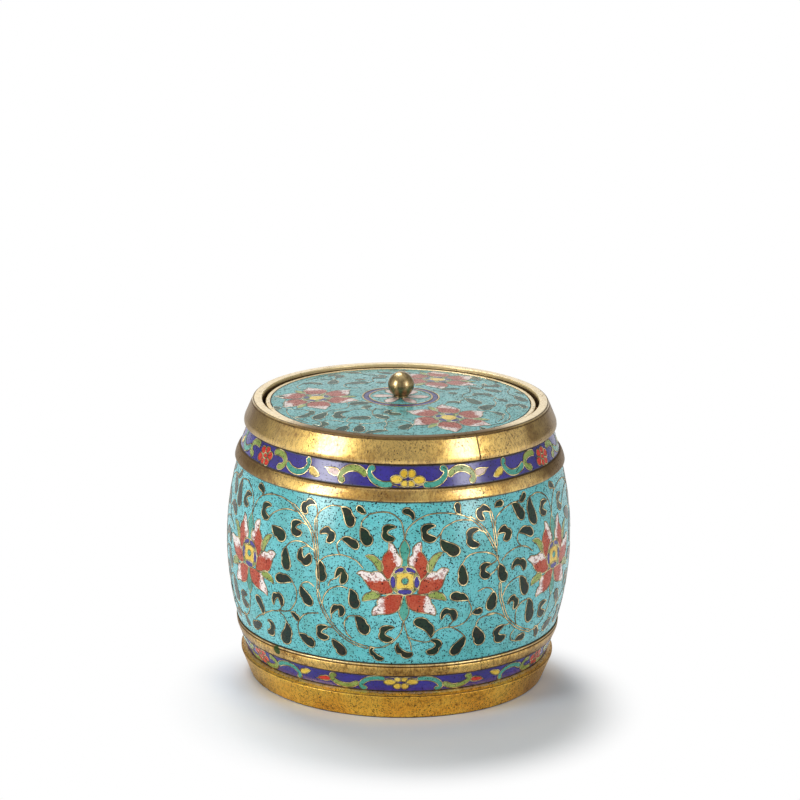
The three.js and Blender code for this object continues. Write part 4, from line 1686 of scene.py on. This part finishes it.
# Leaves, hooks and stems on the lid
LID_SCROLL = Scroll(leaves=(
    (-10.8, -9.4, -14.0, -9.2, -17.2, -11.4, 3.0), (-10.3, -13.4, -11.7, -14.2, -12.8, -15.5, 1.9),
    (-9.4, -23.7, -7.0, -25.3, -4.8, -27.9, 2.9), (-17.6, -27.9, -14.0, -27.0, -10.6, -27.3, 2.9),
    (-25.8, -20.3, -27.5, -24.0, -29.4, -27.5, 3.3), (-18.2, -35.8, -19.5, -38.5, -21.3, -40.8, 3.1),
    (-14.0, -35.2, -13.9, -38.5, -14.6, -42.0, 3.2), (3.8, -33.7, 2.4, -35.6, 0.2, -38.5, 3.3),
    (-43.9, -10.4, -43.2, -12.0, -42.8, -13.8, 1.7), (22.8, 0.0, 25.2, -2.8, 26.9, -6.5, 3.4),
    (32.9, -7.0, 30.2, -9.4, 28.7, -13.3, 3.4), (16.4, -7.0, 18.2, -5.4, 20.4, -6.4, 1.5),
    (32.2, -15.3, 33.9, -16.3, 35.3, -18.2, 1.8), (34.2, 1.9, 35.5, 1.1, 36.9, -0.3, 1.9),
    (27.6, -33.8, 28.2, -34.9, 28.9, -36.2, 1.5), (-19.7, 18.4, -15.6, 19.9, -11.8, 20.0, 2.7),
    (-8.7, 20.1, -7.4, 20.2, -6.1, 20.0, 1.8), (-24.6, 25.3, -24.2, 22.0, -25.3, 19.0, 3.1),
    (-35.0, 20.5, -31.5, 21.1, -29.0, 18.6, 1.8), (-20.2, 38.9, -17.5, 38.5, -15.1, 37.9, 2.1),
    (-16.2, 25.3, -14.8, 25.4, -13.3, 25.3, 1.5), (-8.2, 38.8, -6.0, 37.8, -4.0, 36.6, 2.1),
    (-42.9, 3.5, -42.2, 2.7, -41.5, 1.8, 1.5), (17.1, 6.7, 18.3, 6.3, 19.4, 5.9, 1.9),
    (29.8, 15.4, 32.4, 14.1, 35.3, 13.1, 2.7), (20.5, 14.1, 17.5, 12.7, 14.5, 11.8, 2.3),
    (24.1, 17.4, 26.0, 16.5, 27.5, 14.7, 2.3), (40.4, 8.3, 42.0, 5.5, 43.2, 2.0, 2.9),
    (40.8, 14.2, 42.4, 14.0, 43.8, 12.9, 1.8), (36.6, 29.4, 33.6, 31.2, 31.6, 34.6, 2.6),
    (27.4, 36.0, 26.8, 33.0, 28.4, 30.0, 2.4),
), hooks=(
    (-3.2, -18.4, -4.7, -21.8, -0.2, -21.9, 2.2), (-18.2, -19.8, -22.8, -23.0, -19.0, -26.0, 2.6),
    (-31.8, -17.8, -30.7, -21.8, -35.9, -24.2, 2.1), (-29.7, -33.4, -26.2, -36.0, -26.9, -30.9, 1.9),
    (-4.4, -40.9, -9.3, -41.2, -10.8, -44.2, 1.9), (37.3, -8.2, 40.8, -3.0, 42.9, -7.4, 2.1),
    (-26.1, 32.1, -22.6, 34.8, -23.4, 29.3, 2.5), (-8.7, 33.1, -5.7, 30.6, -9.9, 28.6, 2.3),
    (26.3, 4.9, 28.2, 8.6, 31.4, 5.2, 2.3), (30.0, 24.4, 31.7, 19.8, 34.4, 24.6, 2.1),
    (2.4, 43.0, -0.6, 40.4, 3.4, 38.6, 2.0),
), stems=(
    (-13.0, -12.6, -11.6, -11.6, -10.4, -12.4, -10.3, -13.4),
    (-8.6, -15.4, -9.6, -18.6, -9.8, -22.0, -9.4, -23.7), (-12.8, -15.5, -11.0, -17.2, -9.4, -20.2),
    (-3.2, -18.4, -5.6, -16.8, -8.4, -16.8, -9.2, -18.4),
    (-18.2, -19.8, -16.4, -17.6, -13.0, -16.6, -10.2, -17.6),
    (-17.6, -27.9, -18.4, -30.6, -15.4, -33.0, -9.6, -33.2, -5.4, -31.2, -4.8, -27.9),
    (-14.0, -35.2, -12.8, -33.4), (-5.2, -31.0, -4.6, -34.2, -5.4, -38.0, -4.4, -40.9),
    (-18.2, -35.8, -17.6, -33.6, -16.4, -32.4),
    (-25.8, -20.3, -24.0, -17.6, -20.6, -16.4, -18.2, -14.0, -18.6, -9.4, -19.4, -7.2),
    (-29.4, -27.5, -28.6, -29.6, -26.9, -30.9), (-26.0, -29.4, -22.4, -29.6, -19.2, -31.4),
    (-31.8, -17.8, -33.8, -15.8, -37.4, -15.0, -40.2, -12.0, -40.8, -6.0, -40.2, 0.0),
    (-39.6, -14.6, -39.0, -20.0, -36.0, -26.4, -31.4, -31.4),
    (3.8, -33.7, 3.0, -31.0, 0.2, -29.4, -2.4, -30.4, -4.8, -32.0),
    (22.8, 0.0, 21.6, 2.8, 22.4, 6.4, 24.4, 9.6, 24.6, 13.4, 24.1, 17.4), (22.8, -0.6, 21.0, -3.4, 20.4, -6.4),
    (16.4, -7.0, 15.4, -9.6, 16.4, -12.6), (32.9, -7.0, 33.4, -3.4, 32.6, 0.6, 33.6, 4.4, 31.4, 5.2),
    (34.2, 1.9, 33.2, 3.4), (37.3, -8.2, 36.6, -12.4, 37.8, -17.6, 37.2, -22.8, 34.6, -27.4, 31.6, -30.0),
    (32.2, -15.3, 30.4, -14.6, 28.6, -16.2), (35.3, -18.2, 35.4, -21.6, 33.6, -25.6),
    (40.4, 8.3, 38.4, 10.4, 38.0, 14.6, 38.8, 18.4, 37.8, 23.4),
    (29.8, 15.4, 28.6, 17.6, 30.0, 20.4, 30.0, 24.4), (34.4, 24.6, 34.0, 28.0, 36.6, 29.4),
    (-19.7, 18.4, -20.4, 15.6, -18.4, 12.4, -14.4, 11.6), (-11.8, 20.0, -10.0, 23.0, -10.4, 26.4, -9.9, 28.6),
    (-24.6, 25.3, -23.6, 27.4, -23.4, 29.3), (-35.0, 20.5, -37.0, 17.4, -36.2, 13.0, -33.0, 11.6),
    (-29.2, 26.4, -26.4, 27.0, -24.2, 26.6), (-8.7, 33.1, -12.4, 34.4, -14.2, 36.4, -15.1, 37.9),
    (-20.2, 38.9, -23.4, 37.6, -27.0, 34.8, -30.6, 30.4, -34.0, 26.0), (14.5, 11.8, 13.0, 14.0, 14.6, 16.6),
    (26.3, 4.9, 25.0, 3.6, 22.6, 2.6),
))


def draw_lid(ring_bore: float) -> Drawing:
    """Draws everything on the lid.

    Args:
        ring_bore: The inner radius of the blue ring.

    Returns:
        The drawing.
    """
    drawing = Drawing(grow=0.3)
    for centre, turn in (((16.6, -24.8), 0.0), ((-29.6, -1.4), 4.0), ((13.0, 27.6), -4.0)):
        LidFlower(centre, turn).draw(drawing)
    drawing.move = lambda spot: spot
    LID_SCROLL.draw(drawing)
    reach = ring_bore - 0.9
    petal = Shape((
        reach - 0.6, 0.5, reach - 1.8, 1.4, 6.6, 1.6, 4.6, 1.3, 3.0, 0.8, 3.0, -0.8, 4.6, -1.3, 6.6, -1.6,
        reach - 2.0, -1.3, reach - 1.1, -0.5,
    ))
    for step in range(6):
        turn = Matrix.Rotation(math.radians(step * 60 - 62), 2)
        drawing.move = lambda spot, turn=turn: tuple(turn @ Vector(spot))
        drawing.cell(Glass.WHITE, petal, Wires.FLOWER)
    return drawing


# The sub-assemblies


@dataclass
class Vessel:
    """The jar's body: wall, floor, enamel bands, rim, mouldings, foot and ledge, in millimetres."""

    barrel: Barrel
    layer: Layer
    palette: Palette
    seat: float = 0.1
    enamel: float = 1.0
    copper: float = 2.0
    band_proud: float = 0.5
    rim_bore: float = 48.75
    rim_lip_r: float = 51.95
    rim_cap: float = 4.4
    foot_bore: float = 45.5
    foot_sole_r: float = 52.3
    foot_step: float = 2.7
    ledge_bore: float = 43.6
    ledge_thick: float = 1.6

    def build(self) -> None:
        """Makes every piece."""
        self._metal_wall()
        self._rim()
        self._mouldings()
        self._foot()
        self._ledge()
        self._ground()
        self._field_ornament()
        self._band_ornament()

    def _turn(
        self, name: str, outline: Sequence[Point], slot: str, node: str, uneven: float = 0.05, finish: str = ""
    ) -> None:
        """Turns one piece in place of one solid."""
        Turned(name, outline, uneven).build(self.palette, JAR, slot, node, finish)

    @property
    def back(self) -> float:
        """How far inside the barrel the rings and the enamel end, at the copper wall."""
        return self.seat - self.enamel

    def _metal_wall(self) -> None:
        """Turns the copper wall and the floor."""
        low, high, _ = span("vessel_wall")
        outer = self.barrel.upright(low, high, -self.enamel)
        inner = self.barrel.upright(high, low, -self.enamel - self.copper)
        self._turn("copper_wall", [*outer, *inner], "copper", "vessel_wall")
        low, high, r = span("base_plate")
        self._turn("copper_floor", [(0.0, low), (r, low), (r, high), (0.0, high)], "copper", "base_plate")

    def _rim(self) -> None:
        """Turns the rim, whose outer face leans in and whose lower edge is well rounded."""
        low, high, wide = span("rim_ring")
        band, cap = self.barrel.radius(low), high - self.rim_cap
        corners = (
            (band + self.back, low, 0.0), (band + self.band_proud + 0.05, low, 0.25), (wide, low + 0.7, 1.5),
            (wide - 0.1, low + 2.4, 1.2), (self.rim_lip_r, high, 0.7), (self.rim_bore, high, 0.3),
            (self.rim_bore, cap, 0.0), (self.barrel.radius(cap) + self.back, cap, 0.0),
        )
        self._turn("rim", rounded(corners, 7), "gilt", "rim_ring", 0.06, "rim_gilt")

    def _mouldings(self) -> None:
        """Turns the two mouldings between the enamel bands, each from its edge at the turquoise field."""
        plain = ((0.0, 0.5985, 0.15), (0.5, 1.2635, 0.5))
        stepped = ((0.0, 0.2, 0.1), (0.3, 0.5, 0.2), (0.7, 0.5, 0.15), (0.95, 0.3, 0.1), (1.2, 0.65, 0.2))
        for part, proud, sign, lip in (("shoulder", 1.33, 1, plain), ("lower", 0.83, -1, stepped)):
            low, high, _ = span(f"{part}_moulding")
            near, far = (low, high) if sign > 0 else (high, low)
            corners: list[Corner] = []
            steps = ((0.0, self.back, 0.0), *lip, (2.1, proud, 1.0), (3.9, 0.72 * proud + 0.1, 0.7))
            for up, out, reach in steps:
                level = near + sign * up
                corners.append((self.barrel.radius(level) + out, level, reach))
            band = self.barrel.radius(far)
            corners += [(band + self.band_proud, far, 0.1), (band + self.back, far, 0.0)]
            self._turn(f"{part}_ring", rounded(corners, 5), "gilt", f"{part}_moulding", 0.07, f"{part}_gilt")

    def _foot(self) -> None:
        """Turns the foot ring with its bright upper bevel."""
        low, high, wide = span("foot_ring")
        band, step = self.barrel.radius(high), self.foot_step
        corners = (
            (self.foot_bore, low, 0.3), (self.foot_sole_r, low, 0.6), (wide - 0.2, high - 1.6, 0.3),
            (wide - 0.3, high - 1.25, 0.1), (wide - 0.2, high - 1.05, 0.15),
            (band + self.band_proud + 0.15, high, 0.2), (band + self.back, high, 0.0),
            (self.barrel.radius(step) + self.back, step, 0.0), (self.foot_bore, step, 0.2),
        )
        self._turn("foot", rounded(corners, 6), "gilt", "foot_ring", 0.05, "foot_gilt")

    def _ledge(self) -> None:
        """Turns the ledge inside the mouth, its gilding darkened as painted shade."""
        low, high, r = span("mouth_ledge")
        under = high - self.ledge_thick
        corners = (
            (self.ledge_bore, under, 0.3), (r - 1.6, under, 0.5), (r, low, 0.0),
            (r, high - 0.4, 0.0), (r - 0.4, high, 0.1), (self.ledge_bore, high, 0.3),
        )
        self._turn("inner_ledge", rounded(corners, 4), "gilt", "mouth_ledge", finish="shaded_ledge_gilt")

    def _ground(self) -> None:
        """Turns the three bands of ground enamel."""
        for name, node, slot, proud in (
            ("turquoise_ground", "field_enamel", "turquoise_enamel", 0.0),
            ("upper_blue_ground", "upper_band_enamel", "cobalt_enamel", self.band_proud),
            ("lower_blue_ground", "lower_band_enamel", "cobalt_enamel", self.band_proud),
        ):
            low, high, _ = span(node)
            outer = self.barrel.upright(low, high, proud + GROUND)
            inner = self.barrel.upright(high, low, self.back)
            self._turn(name, [*outer, *inner], slot, node, 0.02)

    def _field_ornament(self) -> None:
        """Lays six flowers and their scrolls round the turquoise field."""
        drawing = Drawing()
        cell = self.barrel.degrees(60.0)
        for shift, scroll in ((0.0, FIRST_SCROLL), (cell, SECOND_SCROLL)):
            drawing.move = lambda spot, shift=shift: (spot[0] + shift, spot[1])
            Lotus().draw(drawing)
            scroll.draw(drawing)
        Enamelling(self.layer, self.palette, "field", JAR, copies=3, first=2.0).build(drawing, split_wires=True)

    def _band_ornament(self) -> None:
        """Lays the running stems round the two blue bands."""
        for band, first, upright, stretch, bud in (
            ("upper_band", 2.9, True, 1.0, Glass.WHITE),
            ("lower_band", 1.7, False, 1.05, Glass.RED),
        ):
            low, high, _ = span(f"{band}_enamel")
            place = {"out": self.band_proud, "copies": 3, "first": first}
            work = Enamelling(self.layer, self.palette, band, JAR, glasses=BAND_GLASS, **place)
            work.build(BlueBand(low, high, upright, stretch, bud).draw(self.barrel))


@dataclass
class Cover:
    """The lid: edge ring, plate, enamel, wires and the riveted knop, in millimetres."""

    crown: Crown
    layer: Layer
    palette: Palette
    seat: float = 0.1
    enamel: float = 1.0
    plate: float = 1.2
    flange_bore: float = 44.2
    blue_bore: float = 11.2
    knop_r: float = 4.6
    knop_wall: float = 0.8
    knop_centre: float = 104.95
    knop_facets: int = 72
    collar_r: float = 2.6
    collar_top: float = 0.35
    shank_r: float = 1.2
    washer_r: float = 4.2
    washer_thick: float = 0.9

    def build(self) -> None:
        """Makes every piece."""
        self._edge_and_plate()
        self._ground()
        self._knop()
        self._rivet()
        style = {"glasses": LID_GLASS, "gold": "lid_wire", "wire_width": 0.46}
        Enamelling(self.layer, self.palette, "lid", LID, on_lid=True, **style).build(draw_lid(self.blue_bore))

    def _turn(
        self, name: str, outline: Sequence[Point], slot: str, node: str, facets: int = 288, finish: str = ""
    ) -> None:
        """Turns one piece in place of one solid."""
        uneven = 0.02 if facets == self.knop_facets else 0.03
        Turned(name, outline, uneven, facets).build(self.palette, LID, slot, node, finish)

    @property
    def hole(self) -> float:
        """The radius of the hole for the shank."""
        return self.shank_r + self.seat

    @property
    def under(self) -> float:
        """The level of the plate's underside at the axis."""
        return self.crown.level(0.0) - self.enamel - self.plate

    def _edge_and_plate(self) -> None:
        """Turns the gilt edge ring and the copper plate."""
        low, high, r = span("lid_edge_ring")
        bore = self.crown.edge_r + self.seat
        flange_top = self.crown.edge_level - self.enamel - self.plate - self.seat
        corners = (
            (self.flange_bore, low, 0.1), (r, low, 0.25), (r, high, 0.8), (bore, high - 0.1, 0.5),
            (bore, flange_top, 0.0), (self.flange_bore, flange_top, 0.1),
        )
        self._turn("lid_edge", rounded(corners, 6), "gilt", "lid_edge_ring", finish="edge_gilt")
        top = self.crown.across(self.crown.edge_r, self.hole, -self.enamel)
        under = self.crown.across(self.hole, self.crown.edge_r, -self.enamel - self.plate)
        self._turn("lid_copper", [*under, *top], "copper", "lid_plate")

    def _ground(self) -> None:
        """Turns the enamel rings and the two ring wires."""
        for name, node, slot, inner, outer, top in (
            ("lid_turquoise_ground", "lid_field_enamel", "turquoise_enamel", 13.6, 45.6, GROUND),
            ("lid_blue_ring", "lid_blue_ring_enamel", "cobalt_enamel", self.blue_bore, 13.2, GROUND),
            ("lid_centre_ground", "lid_centre_enamel", "turquoise_enamel", self.hole, 10.8, GROUND),
            ("lid_outer_ring_wire", "lid_outer_wire", "gilt", 13.22, 13.58, 0.0),
            ("lid_inner_ring_wire", "lid_inner_wire", "gilt", 10.82, 11.18, 0.0),
        ):
            under = self.crown.across(inner, outer, self.seat - self.enamel)
            finish = {"turquoise_enamel": "lid_turquoise", "cobalt_enamel": "lid_cobalt"}.get(slot, "")
            self._turn(name, [*under, *self.crown.across(outer, inner, top)], slot, node, finish=finish)

    def _arc(self, r: float, first: float, last: float) -> list[Point]:
        """Points about the ball's centre between two angles."""
        angles = [first + (last - first) * i / 16 for i in range(17)]
        return [(max(0.0, r * math.cos(a)), self.knop_centre + r * math.sin(a)) for a in angles]

    def _knop(self) -> None:
        """Turns the hollow ball in two halves, and its collar."""
        bore = self.knop_r - self.knop_wall
        low, top = (self.crown.level(0.0) + up for up in (0.05, self.collar_top))
        sole = top + 0.05
        floor = sole + self.knop_wall
        seam_and_shade, inner_seam = (math.asin(self.seat / 4 / r) for r in (self.knop_r, bore))
        cut, inner_cut = (
            -math.asin((self.knop_centre - level) / r) for level, r in ((sole, self.knop_r), (floor, bore))
        )
        quarter = math.pi / 2
        upper = [*self._arc(self.knop_r, seam_and_shade, quarter)[:-1], (0.0, self.knop_centre + self.knop_r)]
        upper += [(0.0, self.knop_centre + bore), *self._arc(bore, quarter, inner_seam)[1:]]
        lower = [(self.hole, sole), *self._arc(self.knop_r, cut, -seam_and_shade)]
        lower += [*self._arc(bore, -inner_seam, inner_cut), (self.hole, floor)]
        collar = (
            (self.hole, low, 0.0), (self.collar_r, low, 0.05), (self.collar_r, top, 0.12), (self.hole, top, 0.0)
        )
        for name, outline, node in (
            ("knop_upper_half", upper, "knop_upper_cup"),
            ("knop_lower_half", lower, "knop_lower_cup"),
            ("knop_seat", rounded(collar, 3), "knop_collar"),
        ):
            self._turn(name, outline, "gilt", node, self.knop_facets, "knop_gilt")

    def _rivet(self) -> None:
        """Turns the washer under the lid and the shank with its riveted head."""
        low, top = self.under - self.washer_thick, self.under - self.seat
        washer = (
            (self.hole, low, 0.2), (self.washer_r, low, 0.3), (self.washer_r, top, 0.2), (self.hole, top, 0.0)
        )
        self._turn("rivet_backing", rounded(washer, 4), "gilt", "rivet_washer", self.knop_facets)
        head = ((0.6, -1.9, 0.0), (1.7, -1.8, 0.5), (2.1, -1.0, 0.4), (1.2, -0.95, 0.0))
        outline = rounded([(r, self.under + down, reach) for r, down, reach in head], 5)
        top = self.knop_centre + self.knop_r - self.knop_wall - 0.4
        shank = [(0.0, self.under - 1.9), *outline, (self.shank_r, top), (0.0, top)]
        self._turn("rivet_shank", shank, "copper", "knop_shank", self.knop_facets)


@dataclass
class Studio:
    """The white floor and surround, the lamps and the camera."""

    camera_place: Spot = (0.0, -1048.31, 376.57)
    right: Spot = (0.999865, 0.004449, 0.015793)
    up: Spot = (-0.016405, 0.255728, 0.966610)
    lens: float = 138.71
    floor_size: float = 4.0
    sky_light: float = 0.28

    def build(self) -> None:
        """Makes the floor, lights, world and camera."""
        self._camera()
        self._floor()
        self._lamps()
        self._sky()

    def _camera(self) -> None:
        """Places the camera as in the photograph."""
        data = bpy.data.cameras.new("camera")
        data.lens = self.lens
        data.sensor_width = 36.0
        data.clip_end = 20.0
        camera = place_object("camera", data)
        right, up = Vector(self.right), Vector(self.up)
        turn = Matrix((right, up, right.cross(up))).transposed().to_4x4()
        camera.matrix_world = Matrix.Translation(Vector(self.camera_place) * MM) @ turn
        bpy.context.scene.camera = camera

    def _floor(self) -> None:
        """Lays the pale floor, which turns into plain white away from the jar; near the jar it is painted
        darker and bluer, as painted shade that also offsets the gilding's warm bounce.
        """
        half = self.floor_size / 2
        mesh = bpy.data.meshes.new("floor")
        corners = [(-half, -half, 0), (half, -half, 0), (half, half, 0), (-half, half, 0)]
        mesh.from_pydata(corners, [], [(0, 1, 2, 3)])
        floor = place_object("floor", mesh)
        paint = Paint("floor_white")
        grain = paint.noise(0.05)
        colour = paint.mix(grain, (0.77, 0.775, 0.785), (0.80, 0.805, 0.815))
        # Painted shade near the jar: a darker, bluer floor that also offsets the gilding's warm bounce light.
        colour = paint.mix(paint.far().falling(58.0, 78.0), colour, (0.66, 0.72, 0.80))
        paint.finish(Base_Color=colour, Roughness=0.85)
        ray = paint.ray
        seen = ray("Is Camera Ray").most(ray("Is Glossy Ray")).most(ray("Is Transmission Ray"))
        white = paint.away((2.0, -36.0, 0.0)).rising(57.0, 86.0) * seen
        paint.show(white, paint.node("ShaderNodeEmission"))
        mesh.materials.append(paint.material)

    def _lamps(self) -> None:
        """Hangs two soft boxes in front and a broad lamp behind and above."""
        for name, place, size, power in (
            ("left_box", (-965, -714, 420), (0.44, 0.72), 10.0),
            ("right_box", (912, -779, 420), (0.36, 0.72), 6.2),
            ("top_box", (-300, 600, 1150), (0.6, 0.6), 10.5),
        ):
            data = bpy.data.lights.new(name, "AREA")
            data.shape = "RECTANGLE"
            data.size, data.size_y = size
            data.energy = power
            lamp = place_object(name, data)
            lamp.location = Vector(place) * MM
            aim = Vector((0, 0, 50)) * MM - lamp.location
            lamp.rotation_euler = aim.to_track_quat("-Z", "Y").to_euler()

    def _sky(self) -> None:
        """Surrounds the jar with soft light that is seen as white."""
        world = bpy.data.worlds.new("studio")
        world.use_nodes = True
        bpy.context.scene.world = world
        sky = Graph(world.node_tree)
        toward = sky.node("ShaderNodeTexCoord", out="Generated")
        backdrop = toward.channel(1).rising(0.72, 0.97).most(toward.channel(2).rising(0.75, 0.92))
        aside = toward.channel(0).apply("ABSOLUTE").rising(0.86, 0.99)
        behind = toward.channel(1).rising(0.20, 0.45)
        room = 0.25 + aside * (1.0 - behind) * 0.45 - behind * 0.21
        mirrored = sky.ray("Is Glossy Ray") * room.most(backdrop)
        seen = sky.ray("Is Camera Ray").most(mirrored).most(sky.ray("Is Transmission Ray"))
        back = world.node_tree.nodes["Background"]
        sky.feed(back.inputs["Strength"], seen * (1.0 - self.sky_light) + self.sky_light)
        back.inputs["Color"].default_value = (1.0, 1.0, 1.0, 1.0)


def main() -> None:
    """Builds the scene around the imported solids."""
    logging.basicConfig(level=logging.INFO, format="%(message)s")
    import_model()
    bpy.context.scene.view_settings.view_transform = "Standard"
    Studio().build()
    palette = Palette()
    palette.mix_all()
    low, high, belly_r = span("field_enamel")
    barrel = Barrel(belly_r, (low + high) / 2)
    low, high, edge_r = span("lid_field_enamel")
    crown = Crown(edge_r, 98.9, 1.8)
    layer = Layer(barrel, crown)
    Vessel(barrel, layer, palette).build()
    Cover(crown, layer, palette).build()


if __name__ == "__main__":
    main()
